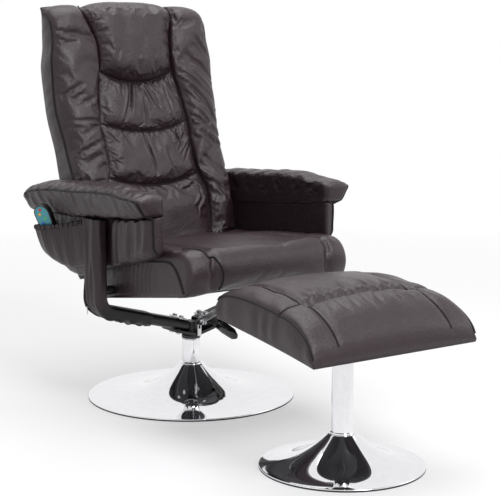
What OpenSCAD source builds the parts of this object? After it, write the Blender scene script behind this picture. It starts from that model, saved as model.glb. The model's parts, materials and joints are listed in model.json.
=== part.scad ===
// Swivel massage recliner with a matching footstool.
// Millimetres, +Z up. The origin is on the floor, on the axis that the chair swivels about.
// The chair faces -Y, and +X is to the right of somebody who looks at its front.

/* [Floor disc and column] */
// Diameter of the chair's floor disc
base_d = 566; // [500:2:620]
// Height of the chair's trumpet, where the column leaves it
base_h = 90; // [70:1:120]
// Thickness of the pressed steel of both trumpets
base_wall = 2; // [1.5:0.5:3]
// Height of the rubber ring under both trumpets
gasket_h = 4; // [3:0.5:6]
// Diameter of both columns
column_d = 50; // [44:1:58]
// Wall of both columns
column_wall = 2.5; // [2:0.5:4]
// Height of the top of the chair's column
column_top = 158; // [150:1:175]
// Diameter of the spindle that the chair turns on
spindle_d = 24; // [18:1:28]
// Length of the spindle above the column
spindle_l = 44; // [38:1:50]

/* [Steel frame] */
// Width of the frame's flat oval tube, from front to back
bar_w = 66; // [54:1:72]
// Thickness of the frame's tube
bar_t = 30; // [24:1:34]
// Wall of the frame's tube
bar_wall = 2.5; // [2:0.5:4]
// How far the uprights stand behind the swivel axis
frame_y = 4; // [0:1:10]
// Angle at which the tube rises from the hub
bar_rise = 15; // [12:1:18]
// Radius of the bend into the upright
bend_r = 45; // [40:1:60]
// Thickness of the hub's two wings
hub_plate_t = 8; // [6:1:12]
// Thickness of the hub's top straps
strap_t = 4; // [3:0.5:6]
// Thickness of the cloth sleeve on each upright
sleeve_t = 2; // [1.5:0.5:3]
// How far the seat tilts about its pivots, in degrees
seat_tilt = 5.6; // [0:0.1:5.6]
// How far the back reclines on the seat, in degrees
recline = 28; // [0:1:28]

/* [Seat] */
// Half of the seat's width
seat_half = 244; // [230:1:255]
// How far the seat's bolster reaches in front of the swivel axis
seat_reach = 384; // [360:1:400]
// Height of the seat where it meets the back
seat_rear_z = 430; // [420:1:440]
// Height of the top of the seat's front bolster
seat_front_z = 464; // [450:1:475]
// Slope of the seat's underside, in degrees
seat_slope = 9; // [6:0.5:11]
// Height of the seat's underside at the uprights
seat_low_z = 296; // [292:1:302]
// Height of the seat's steel side rails
rail_h = 38; // [34:1:44]
// Thickness of the seat's and the back's steel plates
plate_t = 4; // [3:0.5:5]
// Thickness of the plywood boards
board_t = 12; // [9:1:15]

/* [Back] */
// Angle of the back from upright, in degrees
back_lean = 19.2; // [15:0.1:24]
// Length of the back from its hinge to the top of its headrest
back_l = 748; // [700:1:780]
// How much the back reaches past the seat's side, between the arms
back_past = 3; // [-9:1:5]
// How much the back reaches past the seat's side, above the arms
back_top_past = 14; // [6:1:26]
// Distance from the hinge to the front of the back's padding
back_front = 46; // [44:1:52]
// Depth of the back behind its hinge, at the lumbar height
back_rear = 58; // [52:1:64]
// How deep the seams between the back's panels lie
seam_deep = 14; // [8:1:18]

/* [Arms] */
// Clearance between the seat's side and the inner face of an arm
arm_clear = 6.5; // [6.5:0.5:12]
// Thickness of an arm's padded side
arm_t = 24; // [22:1:28]
// How far the arm's side reaches in front of the swivel axis
arm_front = 275; // [260:1:300]
// How far the arm's side reaches behind the swivel axis
arm_rear = 340; // [310:1:350]
// Height of the lowest point of the arm's side
arm_low = 337; // [332:1:345]
// Height of the seam under the arm's roll at its front end
seam_front_z = 541; // [530:1:550]
// Height of the seam under the arm's roll at its rear end
seam_rear_z = 500; // [490:1:510]
// Width of the arm's roll
roll_w = 80; // [70:1:90]
// Height of the arm's roll at its thickest
roll_h = 92; // [78:1:96]

/* [Handset and pocket] */
// Length of the handset
handset_l = 128; // [110:1:130]
// How far the handset's face is turned to the front, in degrees
handset_turn = 30; // [0:1:40]
// Width of the handset
handset_w = 48; // [42:1:54]
// Thickness of the handset
handset_t = 18; // [15:1:20]
// Diameter of the handset's buttons
button_d = 8; // [6:0.5:9]
// Travel of the handset's buttons
button_travel = 1.2; // [0.6:0.1:1.6]
// Wall of the pocket's cloth
pocket_wall = 2; // [1.5:0.5:3]

/* [Footstool] */
// Diameter of the footstool's floor disc
stool_base_d = 386; // [340:2:420]
// Height of the footstool's trumpet
stool_base_h = 78; // [60:1:90]
// Width of the footstool's cushion
stool_w = 436; // [400:1:450]
// Depth of the footstool's cushion
stool_l = 379; // [350:1:400]
// Height of the middle of the footstool's underside
stool_z = 318; // [300:1:340]
// Slope of the footstool's cushion, in degrees
stool_slope = 6.6; // [0:0.2:8]
// Height of the footstool's cushion in its middle
stool_h = 110; // [95:1:125]
// Distance from the swivel axis to the footstool's column
stool_gap = 743; // [700:1:800]

/* [Hidden] */

leather = [0.29, 0.25, 0.26];
leather_dark = [0.22, 0.19, 0.2];
chrome = [0.82, 0.83, 0.85];
black = [0.06, 0.06, 0.07];
steel = [0.62, 0.63, 0.65];
ply = [0.76, 0.62, 0.44];
cloth_black = [0.1, 0.1, 0.11];
teal = [0.2, 0.55, 0.6];
fine_fn = 96;
round_fn = 48;
small_fn = 32;

// Clearances: between pieces that are fixed together, of a turning fit, and between soft pieces
snug = 0.05;
run_fit = 0.06;
soft_gap = 0.3;
lift = 0.3;
over = 1;
half_share = 0.5;

// Widths that follow the seat's
arm_in = seat_half + arm_clear;
back_half = seat_half + back_past;
back_top_half = seat_half + back_top_past;

// Trumpet, gasket and column ring
flare_power = 3.2;
stool_flare_power = 2.2;
flare_steps = 22;
lip_w = 7;
gasket_w = 12;
ring_h = 5;
column_r = column_d / 2;
disc_t = 4;
disc_share = 0.5;
tie_r = 5;
nut_r = 10;
nut_h = 9;
plug_l = 40;
flange_t = 3;
bush_h = 9;
bush_lip = 1;
spindle_r = spindle_d / 2;
bush_top = column_top + flange_t + bush_h;

// Hub and frame. The frame's halves rise from the hub in a straight slope, then bend upright.
hub_z = bush_top + lift;
wing_l = 64;
wing_w = 76;
socket_wall = 8;
socket_r = spindle_r + socket_wall;
cap_t = 3;
cap_gap = 2;
bar_z = hub_z + (bar_t / 2 + hub_plate_t) * cos(bar_rise);
bar_start = (socket_r + over) / cos(bar_rise) + bar_t / 2 * tan(bar_rise);
// The seam under an arm's roll is curved by this power
seam_power = 1.8;
bar_gap = 1;
upright_x = arm_in + arm_t + sleeve_t + bar_gap + bar_t / 2;
bend_x = upright_x - bend_r;
slope_end = (bend_x + bend_r * sin(bar_rise)) / cos(bar_rise);
bend_z = bar_z + slope_end * sin(bar_rise) + bend_r * cos(bar_rise);
upright_top = seam_z(frame_y + bar_w / 2) - over;
sleeve_top_drop = 4;
sleeve_slope_l = 118;
sleeve_extra_w = 16;
bar_end_points = 9;
fold_h = 1.2;
fold_count = 7;
fold_points = 42;
flat_share = 0.35;
hub_bolt_r = 4;
hub_bolt_u = 46;
hub_bolt_y = 17;
bolt_head_r = 7;
bolt_head_h = 5;
strap_margin = 11;

// Bolts from the uprights into the arm boards
arm_bolt_r = 4;
arm_bolt_zs_shares = [0.35, 0.78];
arm_bolt_head_r = 6.5;
arm_bolt_head_h = 4;

// Arm: side, roll and board. Each pair is a share of the arm's length and of its side's height.
arm_l = arm_front + arm_rear;
arm_low_shares = [[0, 0.58], [0.03, 0.5], [0.14, 0.4], [0.26, 0.31], [0.38, 0.24], [0.5, 0.15], [0.6, 0.06],
    [0.68, 0], [0.76, 0.02], [0.85, 0.1], [0.93, 0.24], [0.97, 0.4], [1, 0.62]];
roll_top_shares = [[0, 0.6], [0.05, 0.68], [0.12, 0.77], [0.2, 0.9], [0.3, 0.98], [0.5, 1], [0.75, 1],
    [0.88, 0.9], [0.96, 0.75], [1, 0.58]];
// The roll's section, outwards from the arm's inner face and up from the seam
roll_section_shares = [[0, 0], [0.35, 0], [0.62, 0.02], [0.75, 0.15], [0.86, 0.4], [0.96, 0.62], [1, 0.74],
    [0.96, 0.83], [0.85, 0.91], [0.68, 0.97], [0.5, 1], [0.3, 0.98], [0.12, 0.93], [0.02, 0.84], [0, 0.7],
    [0, 0.45], [0, 0.2]];
roll_tail = 12;
arm_belly = 18;
arm_belly_share = 0.36;
belly_power = 4;
arm_nose_in = 9;
arm_edge_share = 0.4;
arm_round_share = 0.06;
arm_low_round_share = 0.25;
board_inset = 18;
board_top_points = 6;
arm_across_points = 20;
arm_up_points = 5;
roll_ring_count = 18;
roll_end_share = 0.6;
roll_end_round_share = 0.05;
roll_end_bulge = 3;

// Pocket: reach from front to back, and how far its mouth stands off the arm
pocket_from_sleeve = 4;
pocket_front = frame_y + (bar_w + sleeve_extra_w) / 2 + pocket_from_sleeve;
pocket_rear = 288;
pocket_deep = 67;
pocket_mouth_shares = [[0, 0], [0.25, 0.28], [0.5, 0.66], [0.72, 0.98], [0.84, 0.98], [0.95, 0.55],
    [1, 0]];
pocket_mouth_z = 464;
pocket_mouth_rise = 40;
pocket_power = 0.3;
pocket_across_points = 22;
pocket_up_points = 7;
pocket_fold_h = 1.5;
pocket_fold_count = 5;
pocket_low_lift = 22;

// Handset: where its middle line leaves the pocket, and how it leans
handset_out = 44.2;
handset_y = 210;
handset_z = 466;
handset_lean_out = 21;
handset_lean_back = 2.7;
handset_up = 69;
handset_taper_share = 0.84;
face_t = 3;
face_margin = 3;
button_rise = 1;
button_gap = 0.3;
button_first = 12;
button_step = 13;
button_side = 7;

// Zip pulls on the sleeves
zip_angle = -32;
zip_y = 26;
zip_seat_share = 0.88;
zip_ear_t = 1.2;
zip_ear_l = 7.4;
zip_root = 0.9;
zip_pin_out = 4.9;
zip_gap = 4;
zip_pin_r = 1;
zip_pull_l = 18;
zip_pull_w = 6;
zip_pull_t = 1.6;

// Seat: pivots, hinge and frame
pivot_up = 22;
pivot_z = seat_low_z + pivot_up;
pivot_pin_r = 8;
pivot_collar_r = 12;
pivot_hole_gap = 2;
collar_gap = 1;
pin_end = 2;
hinge_drop = 50;
hinge_foot_z = seat_rear_z - hinge_drop;
hinge_foot_y = 101.6;
hinge_y = hinge_foot_y + back_front * cos(back_lean);
hinge_z = hinge_foot_z - back_front * sin(back_lean);
hinge_pin_r = 5;
hinge_pin_head = 2;
hinge_boss_r = 18;
plate_boss_r = 16;
hinge_play = 0.01;
hinge_arm_w = 34;
rail_in = 22;
rail_x = seat_half - rail_in;
frame_front = 322;
frame_rear = 66;
cross_w = 24;
cross_t = 30;
dust_t = 1.5;
cushion_clear = 2;
cushion_rear = hinge_y - back_front - cushion_clear;
seat_nose = 54;
nose_points = 8;
seat_crown = 12;
seat_crown_shares = [0.33, 0.67];
seat_edge = 2;
seat_side_drop = 10;
seat_side_in = 12;
seat_ring_count = 16;
seam_share = 0.72;
channel_deep = 6;
channel_wide_share = 0.07;

// Motors and electrics
motor_r = 30;
motor_h = 24;
motor_x = 78;
seat_motor_y = -150;
back_motor_shares = [0.2, 0.42];
box_l = 110;
box_w = 60;
box_h = 26;
box_y = -24;
inlet_r = 6;
inlet_bore_r = 2.9;
inlet_bore_l = 9;
inlet_l = 12;

// Brake: slotted rod, clamp ears, lever and grip
rod_x = 4;
rod_t = 5;
rod_w = 18;
rod_clear = 0.5;
ear_t = 3;
ear_w = 26;
bracket_web = 20;
clamp_y = -52;
clamp_up = 38;
clamp_r = 4;
rod_slope_share = 0.5;
rod_pin_y = -255;
rod_pin_r = 4;
slot_gap = 1;
slot_before = 4;
slot_spare = 4;
rod_tail = 6;
lever_t = 6;
lever_w = 18;
lever_gap = 0.4;
lever_l = 62;
grip_l = 112;
grip_w = 34;
grip_t = 20;
grip_droop = 15;
// Rows of the grip: shares of its length, its width and its thickness
grip_shares = [[0, 0.72, 0.8], [0.45, 1, 1], [0.85, 0.9, 0.85], [1, 0.45, 0.4]];
lever_droop = -3;

// Back: seams between its panels, as shares of its length and of half its width
panel_seam_shares = [[-0.1, 0.58], [0.05, 0.6], [0.18, 0.63], [0.24, 0.64], [0.31, 0.57], [0.52, 0.55],
    [0.6, 0.53], [0.745, 0.455], [0.84, 0.475], [0.93, 0.55], [1, 0.56]];
outer_edge_shares = [[-0.1, 0], [0.42, 0], [0.6, 1], [1, 1]];
rear_shares = [[-0.1, 1], [0.3, 1], [0.53, 0.7], [0.69, 0.48], [0.78, 0.26], [1, 0.26]];
lumbar_share = 0.31;
lower_panel_share = 0.517;
upper_panel_share = 0.715;
sag_share = 0.04;
head_sag_share = 0.045;
bolster_top_share = 0.985;
bolster_drop = 10;
// The padding is carried round the hinge by the recline and this angle more, so that no gap opens
low_turn = 33;
low_end_share = -back_front * sin(recline + low_turn) / back_l;
swell_from = 62;
swell_over = 70;
head_corner_share = 0.1;
narrow_until = 62;
bolster_narrow = 2;
padding_back = 8;
side_round_share = 0.2;
end_round_share = 0.25;
head_round_share = 0.31;
head_corner_l_share = 0.2;
bolster_in_share = 0.33;
bolster_out_share = 0.45;
bolster_end_share = 0.09;
bolster_top_round_share = 0.1;
gather_h = 2.5;
gather_count = 5;
lumbar_crown = 4;
panel_crown = 2;
head_crown = 20;
board_top_share = 0.79;
board_start = 30;
plate_reach = 160;
cover_t = 3;
cover_start = -30;
panel_gap = 0.3;
panel_across_points = 20;
panel_up_points = 8;
bolster_across_points = 8;
bolster_swell = 16;

// Footstool
stool_x = -66;
stool_turn = 0;
stool_plate_w = 190;
stool_plate_t = 5;
stool_column_gap = 2;
stool_side_share = 0.8;
stool_edge = 12;
stool_front_round = 135;
stool_rear_round = 170;
stool_rear_share = 0.58;
stool_side_round = 26;
stool_front_grow = 26;
stool_across_points = 20;
stool_along_points = 14;
stool_channel_deep = 9;
stool_channel_y_share = 0.38;
stool_seam_share = 0.15;
stool_board_inset = 22;
stool_seam_deep = 4;
stool_channel_wide_share = 0.06;
stool_gather_count = 7;
stool_gather_h = 2;
stool_gather_share = 0.2;
stool_shoulder_share = 0.86;
stool_grow_power = 3;

function lerp(a, b, t) = a + (b - a) * t;
function table(rows, t, i = 0) = i >= len(rows) - 2 || t <= rows[i + 1][0]
    ? lerp(rows[i][1], rows[i + 1][1], (t - rows[i][0]) / (rows[i + 1][0] - rows[i][0]))
    : table(rows, t, i + 1);
function clamp(t) = min(1, max(0, t));
function round_end(t) = sqrt(1 - pow(1 - clamp(t), 2));
function bump(t, middle, wide) = exp(-pow((t - middle) / wide, 2));
function flare(r, disc_r, neck_r, top, power) =
    gasket_h + base_wall + (top - gasket_h - base_wall) * pow((disc_r - r) / (disc_r - neck_r), power);
function flare_r(z, disc_r, neck_r, top, power) =
    disc_r - (disc_r - neck_r) * pow((z - gasket_h) / (top - gasket_h - base_wall), 1 / power);
function seam_z(y) = let (forward = clamp((arm_rear - y) / (arm_rear + arm_front)))
    lerp(seam_rear_z, seam_front_z, pow(forward, seam_power));
function arm_bottom(share) = arm_low + table(arm_low_shares, share) * (seam_front_z - arm_low);

// The points round the rim of a grid
function rim_of(across, up) = [
    each [for (i = [0:across - 1]) [i, 0]], each [for (j = [0:up - 1]) [across, j]],
    each [for (i = [across:-1:1]) [i, up]], each [for (j = [up:-1:1]) [0, j]]];

// A closed form: a sheet of points, and a back that its rim is drawn to
module pillow(across, up, sheet, back) {
    at = function(i, j) j * (across + 1) + i;
    rim = rim_of(across, up);
    count = (across + 1) * (up + 1);
    edge = len(rim);
    points = [each [for (j = [0:up]) each [for (i = [0:across]) sheet(i / across, j / up)]],
        each [for (p = rim) back(p[0] / across, p[1] / up)], back(half_share, half_share)];
    faces = [
        each [for (j = [0:up - 1]) each [for (i = [0:across - 1])
            each [[at(i, j), at(i, j + 1), at(i + 1, j + 1)], [at(i, j), at(i + 1, j + 1), at(i + 1, j)]]]],
        each [for (k = [0:edge - 1]) let (a = rim[k], b = rim[(k + 1) % edge], l = (k + 1) % edge)
            each [[at(a[0], a[1]), at(b[0], b[1]), count + l], [at(a[0], a[1]), count + l, count + k]]],
        each [for (k = [0:edge - 1]) [count + k, count + (k + 1) % edge, count + edge]]];
    polyhedron(points, faces);
}

// A closed form: rings of points, with both ends drawn to a middle point
module loft(rings, around, skin, first, last) {
    at = function(s, t) s * around + t % around;
    count = (rings + 1) * around;
    points = [each [for (s = [0:rings]) each [for (t = [0:around - 1]) skin(s / rings, t / around)]],
        first, last];
    faces = [
        each [for (s = [0:rings - 1]) each [for (t = [0:around - 1])
            each [[at(s, t), at(s + 1, t), at(s + 1, t + 1)], [at(s, t), at(s + 1, t + 1), at(s, t + 1)]]]],
        each [for (t = [0:around - 1]) [count, at(0, t), at(0, t + 1)]],
        each [for (t = [0:around - 1]) [count + 1, at(rings, t + 1), at(rings, t)]]];
    polyhedron(points, faces);
}

module mirrored(side) {
    if (side < 0) mirror([1, 0, 0]) children();
    else children();
}

module trumpet(disc_r, top, power) {
    neck_r = column_r + lip_w;
    outer = [for (i = [0:flare_steps]) let (r = lerp(disc_r, neck_r, i / flare_steps))
        [r, flare(r, disc_r, neck_r, top, power)]];
    inner = [for (i = [flare_steps:-1:0]) outer[i] - [0, base_wall]];
    rotate_extrude($fn = fine_fn)
        polygon([each outer, [column_r + snug, top], [column_r + snug, top - base_wall], each inner]);
}

module ring_gasket(disc_r) {
    rotate_extrude($fn = fine_fn)
        translate([disc_r - gasket_w, 0]) square([gasket_w, gasket_h]);
}

// The clamp disc lies inside the trumpet, and its bolt draws the column down on it
function disc_top(top) = gasket_h + (top - gasket_h) * disc_share;

module tie_bolt(disc_r, top, power, reach) {
    disc_z = disc_top(top);
    touch_r = flare_r(disc_z, disc_r, column_r + lip_w, top, power) - snug;
    translate([0, 0, disc_z - disc_t]) cylinder(h = disc_t, r = touch_r - disc_t, $fn = fine_fn);
    translate([0, 0, disc_z - disc_t - nut_h]) cylinder(h = nut_h, r = nut_r, $fn = 6);
    translate([0, 0, disc_z - disc_t]) cylinder(h = reach - disc_z + disc_t, r = tie_r, $fn = small_fn);
}

module column(bottom, top) {
    translate([0, 0, bottom]) difference() {
        cylinder(h = top - bottom, r = column_r, $fn = fine_fn);
        translate([0, 0, -over])
            cylinder(h = top - bottom + over * 2, r = column_r - column_wall, $fn = fine_fn);
    }
}

module base_trumpet() {
    color(chrome) trumpet(base_d / 2, base_h, flare_power);
}

module base_gasket() {
    color(black) ring_gasket(base_d / 2);
}

module column_tube() {
    color(chrome) column(disc_top(base_h), column_top);
}

module column_ring() {
    color(chrome) translate([0, 0, base_h]) rotate_extrude($fn = fine_fn)
        polygon([[column_r + snug, 0], [column_r + lip_w, 0], [column_r + lip_w, ring_h * half_share],
            [column_r + lip_w * half_share, ring_h], [column_r + snug, ring_h]]);
}

module base_tie_bolt() {
    color(steel) tie_bolt(base_d / 2, base_h, flare_power, column_top - plug_l);
}

module swivel_spindle() {
    color(steel) {
        translate([0, 0, column_top - plug_l])
            cylinder(h = plug_l, r = column_r - column_wall - snug, $fn = fine_fn);
        translate([0, 0, column_top]) cylinder(h = flange_t, r = column_r, $fn = fine_fn);
        translate([0, 0, column_top + flange_t])
            cylinder(h = spindle_l - flange_t, r = spindle_r, $fn = fine_fn);
    }
}

module swivel_bush() {
    color(black) translate([0, 0, column_top + flange_t]) difference() {
        cylinder(h = bush_h, r = column_r + bush_lip, $fn = fine_fn);
        translate([0, 0, -over]) cylinder(h = bush_h + over * 2, r = spindle_r + snug, $fn = fine_fn);
    }
}

module on_slope() {
    translate([0, frame_y, bar_z]) rotate([0, -bar_rise, 0]) children();
}

module hub_bolt_places() {
    for (y = [-hub_bolt_y, hub_bolt_y]) on_slope() translate([hub_bolt_u, y, 0]) children();
}

module hub_bolt_holes() {
    stack = bar_t + hub_plate_t + strap_t;
    hub_bolt_places() cylinder(h = stack * 2, r = hub_bolt_r + snug, center = true, $fn = small_fn);
}

module hub_wing() {
    difference() {
        on_slope() translate([0, -wing_w / 2, -bar_t / 2 - hub_plate_t]) cube([wing_l, wing_w, hub_plate_t]);
        hub_bolt_holes();
    }
}

module hub_socket() {
    socket_top = column_top + spindle_l + cap_gap;
    color(black) difference() {
        union() {
            for (side = [-1, 1]) mirrored(side) hub_wing();
            translate([0, 0, hub_z]) cylinder(h = socket_top + cap_t - hub_z, r = socket_r, $fn = fine_fn);
        }
        translate([0, 0, hub_z - over])
            cylinder(h = socket_top - hub_z + over, r = spindle_r + run_fit, $fn = fine_fn);
    }
}

module hub_strap() {
    for (side = [-1, 1]) color(steel) mirrored(side) difference() {
        on_slope() translate([hub_bolt_u - strap_margin, -hub_bolt_y - strap_margin, bar_t / 2])
            cube([strap_margin * 2, (hub_bolt_y + strap_margin) * 2, strap_t]);
        hub_bolt_holes();
    }
}

module hub_bolts() {
    bottom = -bar_t / 2 - hub_plate_t;
    top = bar_t / 2 + strap_t;
    for (side = [-1, 1]) color(steel) mirrored(side) hub_bolt_places() {
        translate([0, 0, bottom]) cylinder(h = top - bottom, r = hub_bolt_r, $fn = small_fn);
        translate([0, 0, top]) cylinder(h = bolt_head_h, r = bolt_head_r, $fn = 6);
        translate([0, 0, bottom - bolt_head_h]) cylinder(h = bolt_head_h, r = bolt_head_r, $fn = 6);
    }
}

// The frame's path: up its slope, round the bend and up the upright
module along_slope(from) {
    on_slope() translate([from, 0, 0]) rotate([0, 90, 0]) linear_extrude(slope_end - from) children();
}

module along_bend() {
    translate([bend_x, frame_y, bend_z]) rotate([90, 0, 0]) rotate([0, 0, bar_rise - 90])
        rotate_extrude(angle = 90 - bar_rise, $fn = fine_fn) translate([bend_r, 0]) children();
}

module along_upright(top) {
    translate([upright_x, frame_y, bend_z]) linear_extrude(top - bend_z) children();
}

module bar_section(grow = 0) {
    r = bar_t / 2 + grow;
    straight = bar_w - bar_t;
    polygon([for (end = [0, 180]) each [for (i = [0:bar_end_points]) let (a = end + 180 * i / bar_end_points)
        [r * cos(a), r * sin(a) + (end == 0 ? straight : -straight) / 2]]]);
}

module bar_ring() {
    difference() {
        bar_section();
        bar_section(-bar_wall);
    }
}

module arm_bolt_places() {
    for (share = arm_bolt_zs_shares)
        translate([0, frame_y, lerp(bend_z, upright_top, share)]) rotate([0, 90, 0]) children();
}

module arm_bolt_holes() {
    from = arm_in + (arm_t - board_t) / 2;
    arm_bolt_places() translate([0, 0, from])
        cylinder(h = upright_x - from, r = arm_bolt_r + snug, $fn = small_fn);
}

module pivot_hole(r) {
    translate([0, frame_y, pivot_z]) rotate([0, 90, 0]) cylinder(h = upright_x * 2, r = r, $fn = small_fn);
}

module frame_bar() {
    color(black) difference() {
        union() {
            along_slope(bar_start) bar_ring();
            along_bend() bar_ring();
            along_upright(upright_top) bar_ring();
        }
        hub_bolt_holes();
        arm_bolt_holes();
        arm_bolt_places() translate([0, 0, upright_x])
            cylinder(h = bar_t, r = arm_bolt_head_r + over, $fn = small_fn);
        pivot_hole(pivot_pin_r + snug);
    }
}

module frame_bar_left() mirrored(-1) frame_bar();
module frame_bar_right() frame_bar();

// The sleeve's outline has the soft upright folds of loose cloth
module sleeve_section(grow) {
    a = bar_t / 2 + bar_gap + grow;
    b = (bar_w + sleeve_extra_w) / 2 - sleeve_t + grow;
    polygon([for (i = [0:fold_points - 1]) let (t = 360 * i / fold_points,
        flat = pow(abs(cos(t)), flat_share) * sign(cos(t)), ripple = pow(sin(t), 2) * fold_h)
        [a * flat, b * sin(t) - ripple * cos(fold_count * t * 2) * sign(sin(t))]]);
}

module sleeve_ring() {
    difference() {
        sleeve_section(sleeve_t);
        sleeve_section(0);
    }
}

module zip_place() {
    r = bend_r + (bar_t / 2 + bar_gap + sleeve_t) * zip_seat_share;
    translate([bend_x, frame_y + zip_y, bend_z])
        rotate([0, -zip_angle, 0]) translate([r, 0, 0]) rotate([0, zip_angle, 0]) children();
}

module zip_ears() {
    reach = zip_gap / 2 + zip_ear_t;
    zip_place() {
        for (side = [-1, 1])
            translate([-zip_root, side * (reach - zip_ear_t / 2) - zip_ear_t / 2, -zip_ear_l / 2])
                cube([zip_ear_l, zip_ear_t, zip_ear_l]);
        translate([zip_pin_out, 0, 0]) rotate([90, 0, 0])
            cylinder(h = reach * 2, r = zip_pin_r, center = true, $fn = small_fn);
    }
}

module sleeve() {
    color(leather_dark) {
        difference() {
            union() {
                along_slope(slope_end - sleeve_slope_l) sleeve_ring();
                along_bend() sleeve_ring();
                along_upright(upright_top - sleeve_top_drop) sleeve_ring();
            }
            arm_bolt_holes();
            pivot_hole(pivot_collar_r + snug);
        }
        zip_ears();
    }
}

module sleeve_left() mirrored(-1) sleeve();
module sleeve_right() sleeve();

module zip_pull() {
    color(steel) zip_place() translate([zip_pin_out, 0, 0]) difference() {
        union() {
            rotate([90, 0, 0])
                cylinder(h = zip_gap - lift * 2, r = zip_pull_w / 2, center = true, $fn = small_fn);
            translate([-zip_pull_t / 2, -(zip_gap - lift * 2) / 2, -zip_pull_l])
                cube([zip_pull_t, zip_gap - lift * 2, zip_pull_l - zip_pin_r * 2]);
        }
        rotate([90, 0, 0]) cylinder(h = zip_gap * 2, r = zip_pin_r + run_fit, center = true, $fn = small_fn);
    }
}

module zip_pull_left() mirrored(-1) zip_pull();
module zip_pull_right() zip_pull();

// Outline of the arm's board: the side's outline, drawn in by the inset
module arm_board_outline(grow) {
    inset = board_inset - grow;
    front_y = inset - arm_front;
    rear_y = arm_rear - inset;
    low = [for (i = [1:len(arm_low_shares) - 2]) let (share = arm_low_shares[i][0])
        [share * arm_l - arm_front, arm_bottom(share) + inset]];
    high = [for (i = [0:board_top_points]) let (y = lerp(rear_y, front_y, i / board_top_points))
        [y, seam_z(y) - inset]];
    intersection() {
        polygon([each low, each high]);
        translate([front_y, 0]) square([rear_y - front_y, seam_front_z]);
    }
}

module arm_board_solid(grow) {
    x = arm_in + (arm_t - board_t) / 2 - grow;
    translate([x, 0, 0]) rotate([90, 0, 90]) linear_extrude(board_t + grow * 2) arm_board_outline(grow);
}

module arm_board() {
    color(ply) difference() {
        arm_board_solid(0);
        arm_bolt_holes();
    }
}

module arm_board_left() mirrored(-1) arm_board();
module arm_board_right() arm_board();

module arm_side() {
    belly = function(u) arm_belly * (1 - pow(clamp(u / arm_belly_share), belly_power));
    ends = function(u) min(round_end(u / arm_round_share), round_end((1 - u) / arm_round_share));
    sheet = function(u, v) let (y = u * arm_l - arm_front, z = lerp(arm_bottom(u), seam_z(y), v),
        rim = min(ends(u), round_end(v / arm_low_round_share)))
        [arm_in + lerp(arm_t * arm_edge_share, arm_t + belly(u), rim), y, z];
    back = function(u, v) let (y = u * arm_l - arm_front)
        [arm_in, u == 0 ? y + arm_nose_in : y, lerp(arm_bottom(u), seam_z(y), v)];
    color(leather) difference() {
        pillow(arm_across_points, arm_up_points, sheet, back);
        arm_board_solid(snug);
        arm_bolt_holes();
    }
}

module arm_side_left() mirrored(-1) arm_side();
module arm_side_right() arm_side();

module arm_roll() {
    around = len(roll_section_shares);
    last = len(roll_top_shares) - 1;
    full = function(s) min(round_end(s / roll_end_round_share), round_end((1 - s) / roll_end_round_share));
    skin = function(s, t) let (y = lerp(-arm_front, arm_rear + roll_tail, s),
        p = roll_section_shares[round((1 - t) * around) % around], ends = lerp(roll_end_share, 1, full(s)))
        [arm_in + roll_w * lerp(half_share, p[0], ends), y,
            seam_z(y) + soft_gap + roll_h * table(roll_top_shares, s) * lerp(half_share, p[1], ends)];
    middle = function(y, share) [arm_in + roll_w / 2, y, seam_z(y) + soft_gap + roll_h * share / 2];
    color(leather) loft(roll_ring_count, around, skin,
        middle(-arm_front - roll_end_bulge, roll_top_shares[0][1]),
        middle(arm_rear + roll_tail + roll_end_bulge, roll_top_shares[last][1]));
}

module arm_roll_left() mirrored(-1) arm_roll();
module arm_roll_right() arm_roll();

module arm_bolts() {
    from = arm_in + (arm_t - board_t) / 2;
    to = upright_x - bar_t / 2 + bar_wall;
    for (side = [-1, 1]) color(steel) mirrored(side) arm_bolt_places() {
        translate([0, 0, from]) cylinder(h = to - from + over, r = arm_bolt_r, $fn = small_fn);
        translate([0, 0, to]) cylinder(h = arm_bolt_head_h, r = arm_bolt_head_r, $fn = 6);
    }
}

// The pocket is sewn to the arm's side along its bottom and both ends, and hangs open at the top
function pocket_stand(u, v) = pocket_wall
    + pocket_deep * pow(clamp(v), pocket_power) * table(pocket_mouth_shares, u)
    + pocket_fold_h * sin(360 * pocket_fold_count * u) * v * sin(180 * u);

function pocket_low(y) = arm_bottom((y + arm_front) / arm_l) + pocket_low_lift;

function pocket_point(u, v, inset) = let (y = lerp(pocket_front, pocket_rear, u),
    top = pocket_mouth_z + pocket_mouth_rise * pow(1 - u, 2),
    low = pocket_low(y) + inset, z = lerp(low, top, v),
    shrink = inset * (1 - 2 * u), stand = max(inset > 0 ? 0 : pocket_wall, pocket_stand(u, v) - inset))
    [-(arm_in + arm_t + soft_gap + stand), y + shrink, z];

module side_pocket() {
    at = function(i, j, k) (k * (pocket_up_points + 1) + j) * (pocket_across_points + 1) + i;
    rim = rim_of(pocket_across_points, pocket_up_points);
    points = [for (k = [0:1]) each [for (j = [0:pocket_up_points]) each [for (i = [0:pocket_across_points])
        pocket_point(i / pocket_across_points, j / pocket_up_points, k * pocket_wall)]]];
    faces = [
        each [for (j = [0:pocket_up_points - 1]) each [for (i = [0:pocket_across_points - 1]) each [
            [at(i, j, 0), at(i + 1, j, 0), at(i + 1, j + 1, 0)],
            [at(i, j, 0), at(i + 1, j + 1, 0), at(i, j + 1, 0)],
            [at(i, j, 1), at(i + 1, j + 1, 1), at(i + 1, j, 1)],
            [at(i, j, 1), at(i, j + 1, 1), at(i + 1, j + 1, 1)]]]],
        each [for (k = [0:len(rim) - 1]) let (a = rim[k], b = rim[(k + 1) % len(rim)]) each [
            [at(a[0], a[1], 0), at(b[0], b[1], 1), at(b[0], b[1], 0)],
            [at(a[0], a[1], 0), at(a[0], a[1], 1), at(b[0], b[1], 1)]]]];
    color(leather_dark) polyhedron(points, faces);
}

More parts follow.
